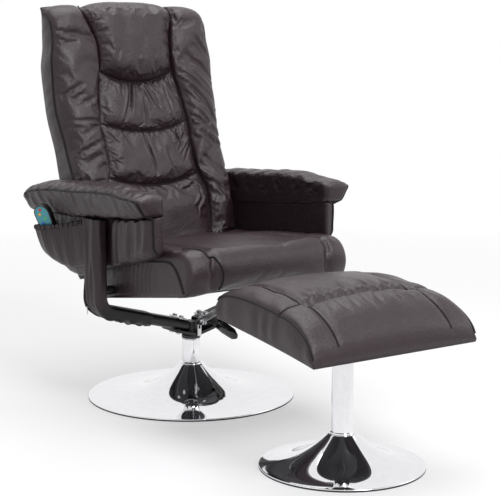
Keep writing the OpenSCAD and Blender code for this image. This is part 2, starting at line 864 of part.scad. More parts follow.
module seat_pivot_pins() {
    inner = rail_x - pin_end;
    collar_x = rail_x + plate_t + collar_gap;
    for (side = [-1, 1]) color(steel) mirrored(side) translate([0, frame_y, pivot_z]) rotate([0, 90, 0]) {
        translate([0, 0, inner]) cylinder(h = upright_x - inner, r = pivot_pin_r, $fn = small_fn);
        translate([0, 0, collar_x])
            cylinder(h = upright_x - bar_t / 2 - collar_x, r = pivot_collar_r, $fn = small_fn);
    }
}

// The seat's own frame: its underside is the plane that slopes up to the front
module in_seat() {
    translate([0, frame_y, seat_low_z]) rotate([-seat_slope, 0, 0]) children();
}

function to_seat(p) = let (y = p[0] - frame_y, z = p[1] - seat_low_z)
    [y * cos(seat_slope) - z * sin(seat_slope), y * sin(seat_slope) + z * cos(seat_slope)];

pivot_at = to_seat([frame_y, pivot_z]);
hinge_at = to_seat([hinge_y, hinge_z]);

arm_from = [frame_rear - rail_h / 2, rail_h / 2];
arm_reach = hinge_at - arm_from;

module hinge_arm_outline(grow) {
    translate(arm_from) rotate([0, 0, atan2(arm_reach[1], arm_reach[0])])
        translate([0, -hinge_arm_w / 2 - grow]) square([norm(arm_reach), hinge_arm_w + grow * 2]);
    translate(hinge_at) circle(r = hinge_boss_r + over + grow, $fn = round_fn);
}

module side_plate_outline() {
    translate([-frame_front, dust_t]) square([frame_front + frame_rear, rail_h - dust_t]);
    hinge_arm_outline(0);
}

module seat_frame() {
    color(black) in_seat() {
        for (side = [-1, 1]) mirrored(side) difference() {
            translate([rail_x, 0, 0]) rotate([90, 0, 90]) linear_extrude(plate_t) side_plate_outline();
            translate([rail_x - over, pivot_at[0], pivot_at[1]]) rotate([0, 90, 0])
                cylinder(h = plate_t + over * 2, r = pivot_pin_r + run_fit, $fn = small_fn);
            translate([rail_x - over, hinge_at[0], hinge_at[1]]) rotate([0, 90, 0])
                cylinder(h = plate_t + over * 2, r = hinge_pin_r + snug, $fn = small_fn);
        }
        for (y = [-frame_front, frame_rear - cross_w]) translate([-rail_x, y, dust_t])
            cube([rail_x * 2, cross_w, cross_t]);
        translate([-rail_x, to_seat([rod_pin_y, seat_low_z])[0] - cross_w / 2, dust_t])
            cube([rail_x * 2, cross_w, cross_t]);
    }
}

module seat_board() {
    color(ply) in_seat() translate([-rail_x, -frame_front, rail_h])
        cube([rail_x * 2, frame_front + frame_rear, board_t]);
}

module seat_dust_cover() {
    color(cloth_black) in_seat() difference() {
        translate([-rail_x, -frame_front, 0]) cube([rail_x * 2, frame_front + frame_rear, dust_t]);
        translate([0, box_y + box_w / 2, -over])
            cylinder(h = dust_t + over * 2, r = inlet_r + snug, $fn = small_fn);
    }
}

// Side outline of the seat: its underside, rounded front, top and rear. It is drawn in at the sides.
function seat_outline(full) = let (front = -seat_reach + (1 - full) * seat_side_in, nose = seat_nose,
    rise = tan(seat_slope), low_front = seat_low_z + rise * (frame_y - front - nose) - over,
    top_front = seat_front_z - (1 - full) * seat_side_drop,
    top_rear = seat_rear_z - (1 - full) * seat_side_drop / 2, middle = (low_front + top_front) / 2)
    [
        [cushion_rear, seat_low_z - rise * (cushion_rear - frame_y)],
        [frame_y, seat_low_z],
        for (i = [0:nose_points]) let (a = 180 * i / nose_points - 90)
            [front + nose * (1 - cos(a)), middle + (top_front - low_front) / 2 * sin(a)],
        for (t = seat_crown_shares)
            [lerp(front + nose, cushion_rear, t), lerp(top_front, top_rear, t) + seat_crown * full],
        [cushion_rear - seat_edge, top_rear],
        [cushion_rear + (top_rear - hinge_foot_z) * tan(back_lean) - cushion_clear, top_rear - seat_edge],
        [cushion_rear, hinge_foot_z]
    ];

seat_points = len(seat_outline(1));

module seat_cushion() {
    dip = function(side) channel_deep / seat_side_in * bump(side, seam_share, channel_wide_share);
    skin = function(s, t) let (x = lerp(seat_half, -seat_half, s), side = abs(2 * s - 1),
        full = round_end((1 - side) / (1 - seam_share)) - dip(side),
        p = seat_outline(full)[round(t * seat_points)]) [x, p[0], p[1]];
    end = function(x) [x, -seat_reach * half_share, (seat_low_z + seat_front_z) / 2];
    frame_half = rail_x + plate_t + snug;
    color(leather) difference() {
        loft(seat_ring_count, seat_points, skin, end(seat_half), end(-seat_half));
        in_seat() translate([-frame_half, -frame_front - snug, -rail_h])
            cube([frame_half * 2, frame_front + frame_rear + seat_half, rail_h * 2 + board_t + snug]);
        for (side = [-1, 1]) mirrored(side) {
            translate([rail_x, frame_y, pivot_z]) rotate([0, 90, 0])
                cylinder(h = seat_half, r = pivot_collar_r + pivot_hole_gap, $fn = small_fn);
            in_seat() translate([rail_x - soft_gap, 0, 0]) rotate([90, 0, 90])
                linear_extrude(plate_t + soft_gap * 2) hinge_arm_outline(soft_gap);
        }
    }
}

module seat_motors() {
    for (x = [-motor_x, motor_x]) color(black) in_seat() translate([x, seat_motor_y, rail_h - motor_h])
        cylinder(h = motor_h, r = motor_r, $fn = round_fn);
}

module control_box() {
    color(black) in_seat() translate([-box_l / 2, box_y, rail_h - box_h]) cube([box_l, box_w, box_h]);
}

module power_inlet() {
    color(black) in_seat() translate([0, box_y + box_w / 2, rail_h - box_h - inlet_l]) difference() {
        cylinder(h = inlet_l, r = inlet_r, $fn = small_fn);
        translate([0, 0, -over]) cylinder(h = inlet_bore_l + over, r = inlet_bore_r, $fn = small_fn);
    }
}

// The brake: its clamp on the hub, and the slotted rod that runs up to the seat
clamp_z = hub_z + hub_plate_t + clamp_up;
rod_pin_z = clamp_z + (clamp_y - rod_pin_y) * rod_slope_share;
rod_angle = atan(rod_slope_share);
// The slot lets the rod slide on the clamp's stud as the seat tilts
slot_after = norm([clamp_y - frame_y, pivot_z - clamp_z]) * sin(seat_tilt) + slot_spare;
rod_l = norm([clamp_y - rod_pin_y, rod_pin_z - clamp_z]);
ear_x = rod_t / 2 + rod_clear;

module brake_bracket() {
    back_y = frame_y - wing_w / 2;
    stud_to = rod_x + ear_x + ear_t + lever_gap * 2 + lever_t;
    color(steel) {
        difference() {
            translate([rod_x - ear_x - ear_t, back_y - ear_t, hub_z])
                cube([(ear_x + ear_t) * 2, ear_t, clamp_z - hub_z]);
            translate([rod_x - ear_x, back_y - ear_t - over, hub_z + bracket_web])
                cube([ear_x * 2, ear_t + over * 2, clamp_z - hub_z]);
        }
        for (x = [rod_x - ear_x - ear_t, rod_x + ear_x]) {
            translate([x, clamp_y, clamp_z - ear_w / 2]) cube([ear_t, back_y - clamp_y, ear_w / 2]);
            translate([x, clamp_y, clamp_z]) rotate([0, 90, 0])
                cylinder(h = ear_t, r = ear_w / 2, $fn = round_fn);
        }
        translate([rod_x - ear_x - ear_t - bolt_head_h, clamp_y, clamp_z]) rotate([0, 90, 0]) {
            cylinder(h = bolt_head_h, r = bolt_head_r, $fn = 6);
            cylinder(h = stud_to - rod_x + ear_x + ear_t + bolt_head_h, r = clamp_r, $fn = small_fn);
        }
        translate([stud_to, clamp_y, clamp_z]) rotate([0, 90, 0])
            cylinder(h = bolt_head_h, r = bolt_head_r, $fn = 6);
    }
}

module rod_bracket() {
    color(black) {
        in_seat() translate([rod_x - ear_w / 2, to_seat([rod_pin_y, seat_low_z])[0] - ear_w / 2, -ear_t])
            cube([ear_w, ear_w, ear_t]);
        top = seat_low_z + (frame_y - rod_pin_y) * tan(seat_slope);
        for (x = [rod_x - ear_x - ear_t, rod_x + ear_x]) {
            translate([x, rod_pin_y - rod_w / 2, rod_pin_z]) cube([ear_t, rod_w, top - rod_pin_z - pin_end]);
            translate([x, rod_pin_y, rod_pin_z]) rotate([0, 90, 0])
                cylinder(h = ear_t, r = rod_w / 2, $fn = round_fn);
        }
        translate([rod_x - ear_x - ear_t - pin_end, rod_pin_y, rod_pin_z]) rotate([0, 90, 0])
            cylinder(h = (ear_x + ear_t + pin_end) * 2, r = rod_pin_r, $fn = small_fn);
    }
}

module brake_rod() {
    slot_r = clamp_r + slot_gap;
    reach = rod_l + slot_after + slot_r + rod_tail;
    place = [rod_x - rod_t / 2, rod_pin_y, rod_pin_z];
    color(steel) translate(place) rotate([-rod_angle, 0, 0]) difference() {
        union() {
            translate([0, 0, -rod_w / 2]) cube([rod_t, reach, rod_w]);
            rotate([0, 90, 0]) cylinder(h = rod_t, r = rod_w / 2, $fn = round_fn);
        }
        translate([-over, 0, 0]) rotate([0, 90, 0])
            cylinder(h = rod_t + over * 2, r = rod_pin_r + run_fit, $fn = small_fn);
        translate([-over, rod_l - slot_before, -slot_r])
            cube([rod_t + over * 2, slot_before + slot_after, slot_r * 2]);
        for (y = [rod_l - slot_before, rod_l + slot_after])
            translate([-over, y, 0]) rotate([0, 90, 0])
                cylinder(h = rod_t + over * 2, r = slot_r, $fn = small_fn);
    }
}

lever_x = rod_x + ear_x + ear_t + lever_gap;

module in_lever() {
    translate([lever_x, clamp_y, clamp_z]) rotate([lever_droop, 0, 0]) children();
}

module lever_arm() {
    color(black) in_lever() difference() {
        union() {
            rotate([0, 90, 0]) cylinder(h = lever_t, r = lever_w / 2, $fn = round_fn);
            translate([0, -lever_l, -lever_w / 2]) cube([lever_t, lever_l, lever_w]);
        }
        translate([-over, 0, 0]) rotate([0, 90, 0])
            cylinder(h = lever_t + over * 2, r = clamp_r + run_fit, $fn = small_fn);
    }
}

module grip_slice(row) {
    translate([0, -row[0] * (grip_l - over), 0]) rotate([90, 0, 0])
        linear_extrude(over) scale([grip_t * row[2], grip_w * row[1]]) circle(r = half_share, $fn = small_fn);
}

module lever_grip() {
    color(black) in_lever() difference() {
        translate([grip_t / 2 - over, -lever_l * half_share, 0]) rotate([grip_droop, 0, 0]) union() {
            for (i = [1:len(grip_shares) - 1]) hull() {
                grip_slice(grip_shares[i - 1]);
                grip_slice(grip_shares[i]);
            }
        }
        translate([-snug, -lever_l - snug, -lever_w / 2 - snug])
            cube([lever_t + snug * 2, lever_l, lever_w + snug * 2]);
    }
}

// The back's own frame: its origin is on the hinge, and +Z runs up the back
module in_back() {
    translate([0, hinge_y, hinge_z]) rotate([-back_lean, 0, 0]) children();
}

function panel_seam(z) = back_top_half * table(panel_seam_shares, z / back_l);
function outer_edge(z) = z < narrow_until ? rail_x - bolster_narrow
    : lerp(back_half, back_top_half, table(outer_edge_shares, z / back_l));
// The padding's front turns round the hinge below it, and it only swells well above the hinge
function swell(z) = clamp((z - swell_from) / swell_over);
function padding_front(z) = z < 0 ? -sqrt(max(0, back_front * back_front - z * z)) : -back_front;

module back_hinge_plates() {
    x = rail_x + plate_t + lift * 2;
    for (side = [-1, 1]) color(black) in_back() mirrored(side) {
        translate([x, 0, 0]) rotate([0, 90, 0]) cylinder(h = plate_t, r = plate_boss_r, $fn = round_fn);
        translate([x, -padding_back + over, 0]) cube([plate_t, padding_back + board_t, plate_reach]);
        translate([rail_x - hinge_pin_head, 0, 0]) rotate([0, 90, 0])
            cylinder(h = (plate_t + lift + hinge_pin_head) * 2, r = hinge_pin_r - hinge_play, $fn = small_fn);
    }
}

module back_board() {
    half = rail_x + plate_t + lift * 2;
    color(ply) in_back() translate([-half, -padding_back + over, board_start])
        cube([half * 2, board_t, back_l * board_top_share - board_start]);
}

module back_motors() {
    for (x = [-motor_x, motor_x], share = back_motor_shares)
        color(black) in_back() translate([x, board_t - padding_back + over, back_l * share])
            rotate([-90, 0, 0]) cylinder(h = motor_h, r = motor_r, $fn = round_fn);
}

// The rear cover is a shell that reaches from the padding round the board, open below and in front
module cover_outline(grow) {
    front = -padding_back + panel_gap - (grow < 0 ? over : 0);
    top = back_l * board_top_share + cover_t + grow;
    bottom = cover_start + grow * 2;
    rows = [for (row = rear_shares) [back_rear * row[1] + grow, min(top, max(bottom, back_l * row[0]))]];
    polygon([[front, bottom], each rows, [front, top]]);
}

module back_rear_cover() {
    color(cloth_black) in_back() difference() {
        translate([-back_half, 0, 0]) rotate([90, 0, 90]) linear_extrude(back_half * 2) cover_outline(0);
        translate([cover_t - back_half, 0, 0]) rotate([90, 0, 90])
            linear_extrude((back_half - cover_t) * 2) cover_outline(-cover_t);
    }
}

// One padded panel of the back's middle, between two seams that sag
module middle_panel(low, high, low_sag, high_sag, crown, gather, top_round) {
    sag = function(u, depth) depth * back_l * (1 - pow(2 * u - 1, 2));
    corner = function(v) top_round
        ? lerp(1 - head_corner_share, 1, round_end((1 - v) / head_corner_l_share)) : 1;
    place = function(u, v) let (from = low * back_l - sag(u, low_sag) + panel_gap,
        to = high * back_l - sag(u, high_sag) - panel_gap, z = lerp(from, to, v))
        [(2 * u - 1) * (panel_seam(z) - panel_gap) * corner(v), z];
    puff = function(u, v) min(round_end(u / side_round_share), round_end((1 - u) / side_round_share))
        * min(round_end(v / end_round_share), round_end((1 - v) / end_round_share));
    sheet = function(u, v) let (p = place(u, v),
        front = padding_front(p[1]) + seam_deep * (1 - puff(u, v)) - crown * puff(u, v) * swell(p[1])
            + gather * sin(360 * gather_count * u) * (1 - v) * puff(u, v),
        top = top_round ? (back_front - padding_back) * (1 - round_end((1 - v) / head_round_share)) : 0)
        [p[0], min(front + top, -padding_back - over), p[1]];
    back = function(u, v) let (p = place(u, v)) [p[0], -padding_back, p[1]];
    color(leather) in_back() pillow(panel_across_points, panel_up_points, sheet, back);
}

module lumbar_pad() {
    middle_panel(low_end_share, lumbar_share, 0, sag_share, lumbar_crown, 0, false);
}

module lower_back_panel() {
    middle_panel(lumbar_share, lower_panel_share, sag_share, sag_share, panel_crown, gather_h, false);
}

module upper_back_panel() {
    middle_panel(lower_panel_share, upper_panel_share, sag_share, head_sag_share, panel_crown, gather_h,
        false);
}

module headrest_pad() {
    middle_panel(upper_panel_share, 1, head_sag_share, 0, head_crown, 0, true);
}

// The bolsters' rows lie level with the rows at the sides of the middle panels, so that their seams match
panel_edge_shares = [low_end_share, lumbar_share, lower_panel_share, upper_panel_share, 1];
bolster_up_points = panel_up_points * (len(panel_edge_shares) - 1);

function bolster_row(v) = let (k = round(v * bolster_up_points), last = len(panel_edge_shares) - 2,
    i = min(last, floor(k / panel_up_points)))
    back_l * lerp(panel_edge_shares[i], panel_edge_shares[i + 1], (k - i * panel_up_points) / panel_up_points);

module back_bolster() {
    place = function(u, v) let (top = back_l * bolster_top_share - bolster_drop * u * u,
        z = v < 1 ? bolster_row(v) : top)
        [lerp(panel_seam(z) + panel_gap, outer_edge(z) - (v < 1 ? 0 : bolster_drop), u), z];
    puff = function(u, v) min(round_end(u / bolster_in_share), round_end((1 - u) / bolster_out_share))
        * round_end((1 - v) / bolster_end_share);
    sheet = function(u, v) let (p = place(u, v),
        front = padding_front(p[1]) + seam_deep * (1 - puff(u, v)) - bolster_swell * puff(u, v) * swell(p[1])
            + (back_front - padding_back) * (1 - round_end((1 - v) / bolster_top_round_share)))
        [p[0], min(front, -padding_back - over), p[1]];
    back = function(u, v) let (p = place(u, v)) [p[0], -padding_back, p[1]];
    color(leather) in_back() pillow(bolster_across_points, bolster_up_points, sheet, back);
}

module back_bolster_left() mirrored(-1) back_bolster();
module back_bolster_right() back_bolster();

// The handset's own frame: +Z runs up the handset, and its face looks along -X
module in_handset() {
    translate([-(arm_in + arm_t + handset_out), handset_y, handset_z])
        rotate([0, -handset_lean_out, 0]) rotate([-handset_lean_back, 0, 0]) rotate([0, 0, handset_turn])
            children();
}

module handset_outline(grow) {
    low = handset_up - handset_l;
    r = handset_w / 2 + grow;
    narrow = r * handset_taper_share;
    translate([0, handset_up - handset_w / 2]) circle(r = r, $fn = round_fn);
    polygon([[-narrow, low - grow + narrow], [narrow, low - grow + narrow], [r, handset_up - handset_w / 2],
        [-r, handset_up - handset_w / 2]]);
    translate([0, low - grow + narrow]) circle(r = narrow, $fn = round_fn);
}

function button_z(i) = handset_up - button_first - i * button_step;
function button_y(i) = i == 0 ? 0 : (i % 2 == 1 ? button_side : -button_side);

module button_holes() {
    floor_at = handset_t / 2 + face_t + button_travel + button_gap;
    for (i = [0:3]) translate([-handset_t, button_y(i), button_z(i)]) rotate([0, 90, 0])
        cylinder(h = floor_at, r = button_d / 2 + button_gap, $fn = small_fn);
}

module handset_case() {
    color(black) in_handset() difference() {
        translate([-handset_t / 2, 0, 0]) rotate([90, 0, 90]) linear_extrude(handset_t) handset_outline(0);
        translate([-handset_t / 2 - over, 0, 0]) rotate([90, 0, 90])
            linear_extrude(face_t + over) handset_outline(-face_margin);
        button_holes();
    }
}

module handset_face() {
    color(teal) in_handset() difference() {
        translate([-handset_t / 2, 0, 0]) rotate([90, 0, 90])
            linear_extrude(face_t - snug) handset_outline(-face_margin - snug);
        button_holes();
    }
}

module handset_button(i) {
    in_handset() translate([-handset_t / 2 - button_rise, button_y(i), button_z(i)]) rotate([0, 90, 0])
        cylinder(h = button_rise + face_t, r = button_d / 2, $fn = small_fn);
}

module power_button() color([0.8, 0.12, 0.1]) handset_button(0);
module mode_button() color([0.9, 0.6, 0.1]) handset_button(1);
module speed_button() color([0.15, 0.6, 0.25]) handset_button(2);
module heat_button() color([0.12, 0.3, 0.75]) handset_button(3);

module at_stool() {
    translate([stool_x, -stool_gap, 0]) rotate([0, 0, stool_turn]) children();
}

// The cushion's own frame: its underside is the plane that the plate carries
module on_stool_plate() {
    at_stool() translate([0, 0, stool_z]) rotate([stool_slope, 0, 0]) children();
}

stool_column_top = stool_z - stool_plate_t - column_r * tan(stool_slope) - stool_column_gap;

module stool_trumpet() {
    color(chrome) at_stool() trumpet(stool_base_d / 2, stool_base_h, stool_flare_power);
}

module stool_gasket() {
    color(black) at_stool() ring_gasket(stool_base_d / 2);
}

module stool_column() {
    color(chrome) at_stool() {
        column(disc_top(stool_base_h), stool_column_top);
        translate([0, 0, stool_base_h]) difference() {
            cylinder(h = ring_h, r = column_r + lip_w * half_share, $fn = fine_fn);
            translate([0, 0, -over]) cylinder(h = ring_h + over * 2, r = column_r - over, $fn = fine_fn);
        }
    }
}

module stool_tie_bolt() {
    color(steel) at_stool()
        tie_bolt(stool_base_d / 2, stool_base_h, stool_flare_power, stool_column_top - plug_l);
}

module stool_plate() {
    color(black) {
        on_stool_plate() translate([-stool_plate_w / 2, -stool_plate_w / 2, -stool_plate_t])
            cube([stool_plate_w, stool_plate_w, stool_plate_t]);
        at_stool() difference() {
            translate([0, 0, stool_column_top - plug_l])
                cylinder(h = plug_l + stool_plate_t, r = column_r - column_wall - snug, $fn = fine_fn);
            on_stool_plate_cut();
        }
    }
}

// Room above the tilted plate, so that the plug ends inside it
module on_stool_plate_cut() {
    translate([0, 0, stool_z]) rotate([stool_slope, 0, 0]) translate([-column_d, -column_d, -over])
        cube([column_d * 2, column_d * 2, column_d]);
}

module stool_board_solid(grow) {
    inset = stool_board_inset - grow;
    translate([inset - stool_w / 2, inset - stool_l / 2, 0])
        cube([stool_w - inset * 2, stool_l - inset * 2, board_t + grow]);
}

module stool_board() {
    color(ply) on_stool_plate() stool_board_solid(0);
}

module stool_cushion() {
    rise = function(y) min(round_end((y + stool_l / 2) / stool_front_round),
        lerp(stool_rear_share, 1, round_end((stool_l / 2 - y) / stool_rear_round)));
    place = function(u, v) [(u - half_share) * (stool_w + stool_front_grow * pow(1 - v, stool_grow_power)),
        (v - half_share) * stool_l];
    side = function(u) min(round_end(u * stool_w / stool_side_round),
        round_end((1 - u) * stool_w / stool_side_round));
    crown = function(u) lerp(stool_side_share, 1, 1 - pow(2 * u - 1, 2));
    middle = function(u) u > stool_seam_share && u < 1 - stool_seam_share ? 1 : 0;
    seam = function(u, at) bump(u, at, stool_channel_wide_share);
    sheet = function(u, v) let (p = place(u, v),
        full = stool_h * crown(u) * rise(p[1]) * lerp(stool_shoulder_share, 1, side(u)),
        channel = stool_channel_deep * bump(v, stool_channel_y_share, stool_channel_wide_share) * middle(u),
        seams = stool_seam_deep * (seam(u, stool_seam_share) + seam(u, 1 - stool_seam_share)),
        ripple = stool_gather_h * cos(360 * stool_gather_count * u) * middle(u)
            * bump(v, stool_channel_y_share, stool_gather_share))
        [p[0], p[1], max(stool_edge, full - channel - seams * rise(p[1]) + ripple * rise(p[1]))];
    back = function(u, v) let (p = place(u, v)) [p[0], p[1], 0];
    color(leather) on_stool_plate() difference() {
        pillow(stool_across_points, stool_along_points, sheet, back);
        translate([0, 0, -over]) stool_board_solid(snug);
        stool_board_solid(snug);
    }
}

base_trumpet();
base_gasket();
column_tube();
column_ring();
base_tie_bolt();
swivel_spindle();
swivel_bush();
hub_socket();
hub_strap();
hub_bolts();
brake_bracket();
frame_bar_left();
frame_bar_right();
sleeve_left();
sleeve_right();
zip_pull_left();
zip_pull_right();
arm_board_left();
arm_board_right();
arm_side_left();
arm_side_right();
arm_roll_left();
arm_roll_right();
arm_bolts();
side_pocket();
seat_pivot_pins();
seat_frame();
seat_board();
seat_cushion();
seat_dust_cover();
seat_motors();
control_box();
power_inlet();
rod_bracket();
back_hinge_plates();
back_board();
back_motors();
back_rear_cover();
lumbar_pad();
lower_back_panel();
upper_back_panel();
headrest_pad();
back_bolster_left();
back_bolster_right();
brake_rod();
lever_arm();
lever_grip();
handset_case();
handset_face();
power_button();
mode_button();
speed_button();
heat_button();
stool_trumpet();
stool_gasket();
stool_column();
stool_tie_bolt();
stool_plate();
stool_board();
stool_cushion();
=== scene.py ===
"""Swivel recliner and footstool: leather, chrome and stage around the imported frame.

Metres, +Z up. Shapes are worked out in millimetres, as the frame's source is, and put into meshes in metres.
"""

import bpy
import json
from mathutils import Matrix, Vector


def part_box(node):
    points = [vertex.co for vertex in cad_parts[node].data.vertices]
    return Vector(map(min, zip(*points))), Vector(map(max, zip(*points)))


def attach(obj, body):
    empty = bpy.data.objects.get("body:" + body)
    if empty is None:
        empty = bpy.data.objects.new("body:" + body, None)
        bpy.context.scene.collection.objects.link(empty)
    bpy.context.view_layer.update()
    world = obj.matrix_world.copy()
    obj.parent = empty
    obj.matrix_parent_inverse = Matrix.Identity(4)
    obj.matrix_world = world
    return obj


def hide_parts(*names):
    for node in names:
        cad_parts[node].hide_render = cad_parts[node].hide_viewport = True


bl_info = {
    "name": "Swivel recliner and footstool",
    "version": (1, 0, 0),
    "blender": (4, 5, 0),
    "location": "3D View > Sidebar > Recliner",
    "description": "Upholstery, chrome and a studio for a swivel recliner with a footstool",
    "category": "Add Mesh",
}

import json
import math
import random

import bmesh
import bpy
import numpy as np
from bpy.props import FloatProperty, FloatVectorProperty, IntProperty, PointerProperty
from mathutils import Matrix, Vector
from mathutils.bvhtree import BVHTree

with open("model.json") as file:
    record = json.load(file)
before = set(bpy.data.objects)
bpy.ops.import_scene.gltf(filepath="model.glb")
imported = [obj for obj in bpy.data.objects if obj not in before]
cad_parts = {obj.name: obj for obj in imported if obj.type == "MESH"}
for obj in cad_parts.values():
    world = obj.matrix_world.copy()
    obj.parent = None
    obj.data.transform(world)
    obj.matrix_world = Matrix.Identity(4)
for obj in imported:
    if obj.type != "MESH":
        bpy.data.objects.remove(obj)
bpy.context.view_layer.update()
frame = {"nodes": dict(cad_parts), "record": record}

MM = 0.001

# Sizes that follow the frame's source, in millimetres
BACK_HINGE = (0.0, 145.041, 364.872)
BACK_LEAN = 19.2
BACK_L = 748.0
BACK_FRONT = 46.0
BACK_PAD = 8.0
BACK_HALF = 247.0
BACK_TOP_HALF = 258.0
SEAT_HALF = 244.0
SEAT_REACH = 384.0
SEAT_LOW_Z = 296.0
SEAT_SLOPE = 9.0
ARM_IN = 250.5
ARM_T = 24.0
ARM_FRONT = 275.0
ARM_REAR = 340.0
ARM_LOW = 337.0
SEAM_FRONT_Z = 541.0
SEAM_REAR_Z = 500.0
ROLL_W = 80.0
ROLL_H = 92.0
BEND = (247.5, 305.42, 45.0)
STOOL_AT = (-66.0, -743.0, 318.0)
STOOL_SLOPE = 6.6
STOOL_W = 436.0
STOOL_L = 379.0
STOOL_H = 110.0
SEAM_ROWS = [(-0.1, 0.58), (0.05, 0.6), (0.18, 0.63), (0.24, 0.64), (0.31, 0.57), (0.52, 0.55), (0.6, 0.53),
             (0.745, 0.455), (0.84, 0.475), (0.93, 0.55), (1, 0.56)]
ARM_LOW_ROWS = [(0, 0.58), (0.03, 0.5), (0.14, 0.4), (0.26, 0.31), (0.38, 0.24), (0.5, 0.15), (0.6, 0.06),
                (0.68, 0), (0.76, 0.02), (0.85, 0.1), (0.93, 0.24), (0.97, 0.4), (1, 0.62)]
ROLL_TOP_ROWS = [(0, 0.6), (0.05, 0.68), (0.12, 0.77), (0.2, 0.9), (0.3, 0.98), (0.5, 1), (0.75, 1),
                 (0.88, 0.9), (0.96, 0.75), (1, 0.58)]
ROLL_SECTION = [(0, 0), (0.35, 0), (0.62, 0.02), (0.75, 0.15), (0.86, 0.4), (0.96, 0.62), (1, 0.74),
                (0.96, 0.83), (0.85, 0.91), (0.68, 0.97), (0.5, 1), (0.3, 0.98), (0.12, 0.93), (0.02, 0.84),
                (0, 0.7), (0, 0.45), (0, 0.2)]


# Numbers
def clip(t):
    return np.clip(t, 0, 1)


def lerp(a, b, t):
    return a + (b - a) * t


def ease(t):
    t = clip(t)
    return t * t * (3 - 2 * t)


def arch(t):
    """Rises from 0 like a quarter of a circle and stays at 1."""
    return np.sqrt(np.maximum(0, 1 - (1 - clip(t)) ** 2))


def bump(t, middle, wide):
    return np.exp(-(((t - middle) / wide) ** 2))


def curve(rows, t):
    """A smooth line through rows of (place, value)."""
    x, y = np.array(rows, float).T
    slope = np.gradient(y, x)
    t = np.clip(t, x[0], x[-1])
    i = np.clip(np.searchsorted(x, t) - 1, 0, len(x) - 2)
    h = x[i + 1] - x[i]
    s = (t - x[i]) / h
    return ((1 + 2 * s) * (1 - s) ** 2 * y[i] + s * (1 - s) ** 2 * h * slope[i]
            + s * s * (3 - 2 * s) * y[i + 1] + s * s * (s - 1) * h * slope[i + 1])


def strokes(x, y, marks):
    """Height of soft folds. A mark runs from (x0, y0) to (x1, y1), with a half width, a height and a bow."""
    total = np.zeros(np.broadcast(x, y).shape)
    for x0, y0, x1, y1, wide, high, bow in marks:
        dx, dy = x1 - x0, y1 - y0
        long = math.hypot(dx, dy)
        t = ((x - x0) * dx + (y - y0) * dy) / long ** 2
        side = ((x - x0) * dy - (y - y0) * dx) / long + bow * 4 * clip(t) * (1 - clip(t))
        taper = ease((t + 0.12) / 0.3) * ease((1.12 - t) / 0.5)
        ridge = np.exp(-((side / wide) ** 2)) - 0.45 * np.exp(-(((side - 1.7 * wide) / wide) ** 2))
        total += high * taper * ridge
    return total


def ripples(x, y, seed, long, high, count=7):
    """Quiet unevenness from a few waves that cross."""
    draw = random.Random(seed)
    total = np.zeros(np.broadcast(x, y).shape)
    for _ in range(count):
        turn, wave = draw.uniform(0, math.tau), long * draw.uniform(0.6, 1.8)
        total += np.sin((x * math.cos(turn) + y * math.sin(turn)) * math.tau / wave
                        + draw.uniform(0, math.tau))
    return total * high / math.sqrt(count)


def turned(points, degrees):
    """Points turned about the X axis."""
    a = math.radians(degrees)
    x, y, z = points[..., 0], points[..., 1], points[..., 2]
    return np.stack([x, y * math.cos(a) - z * math.sin(a), y * math.sin(a) + z * math.cos(a)], -1)


def of_back(points):
    return turned(np.asarray(points, float), -BACK_LEAN) + BACK_HINGE


def of_stool(points):
    return turned(np.asarray(points, float), STOOL_SLOPE) + STOOL_AT


def grid(across, up):
    """Places in 0..1 across and up, as two arrays with a row for each place up."""
    return np.meshgrid(np.linspace(0, 1, across), np.linspace(0, 1, up))


def xyz(x, y, z):
    return np.stack(np.broadcast_arrays(x, y, z), -1).astype(float)


# Meshes
def linked(name, data):
    obj = bpy.data.objects.new(name, data)
    bpy.context.scene.collection.objects.link(obj)
    return obj


def new_object(name, points, faces, finish):
    mesh = bpy.data.meshes.new(name)
    mesh.from_pydata((np.asarray(points).reshape(-1, 3) * MM).tolist(), [], faces)
    mesh.validate()
    mesh.shade_smooth()
    mesh.materials.append(finish)
    return linked(name, mesh)


def quads(rows, columns, loop=False):
    """Faces of a grid of points, row by row."""
    last = columns if loop else columns - 1
    return [(j * columns + i, j * columns + (i + 1) % columns, (j + 1) * columns + (i + 1) % columns,
             (j + 1) * columns + i) for j in range(rows - 1) for i in range(last)]


def face_out(obj):
    """Turns every face of a closed mesh outwards."""
    work = bmesh.new()
    work.from_mesh(obj.data)
    bmesh.ops.remove_doubles(work, verts=work.verts, dist=1e-6)
    bmesh.ops.recalc_face_normals(work, faces=work.faces)
    work.to_mesh(obj.data)
    work.free()
    return obj


def spread(rows, count, loop):
    """Rows of values at count places, by a smooth line through the old ones."""
    old = rows.shape[0]
    t = np.arange(count) * (old / count if loop else (old - 1) / (count - 1))
    i = np.floor(t).astype(int)
    s = (t - i).reshape((-1,) + (1,) * (rows.ndim - 1))

    def pick(k):
        return rows[(i + k) % old] if loop else rows[np.clip(i + k, 0, old - 1)]

    return (pick(-1) * (-0.5 * s + s * s - 0.5 * s ** 3) + pick(0) * (1 - 2.5 * s * s + 1.5 * s ** 3)
            + pick(1) * (0.5 * s + 2 * s * s - 1.5 * s ** 3) + pick(2) * (0.5 * s ** 3 - 0.5 * s * s))


# The simulation's length in frames, and how the leather behaves in it
SETTLE_FRAMES = 18
LEATHER_CLOTH = {"quality": 6, "mass": 0.4, "tension_stiffness": 25, "compression_stiffness": 25,
                 "shear_stiffness": 12, "bending_stiffness": 1.2, "air_damping": 2,
                 "vertex_group_mass": "held", "use_pressure": True}


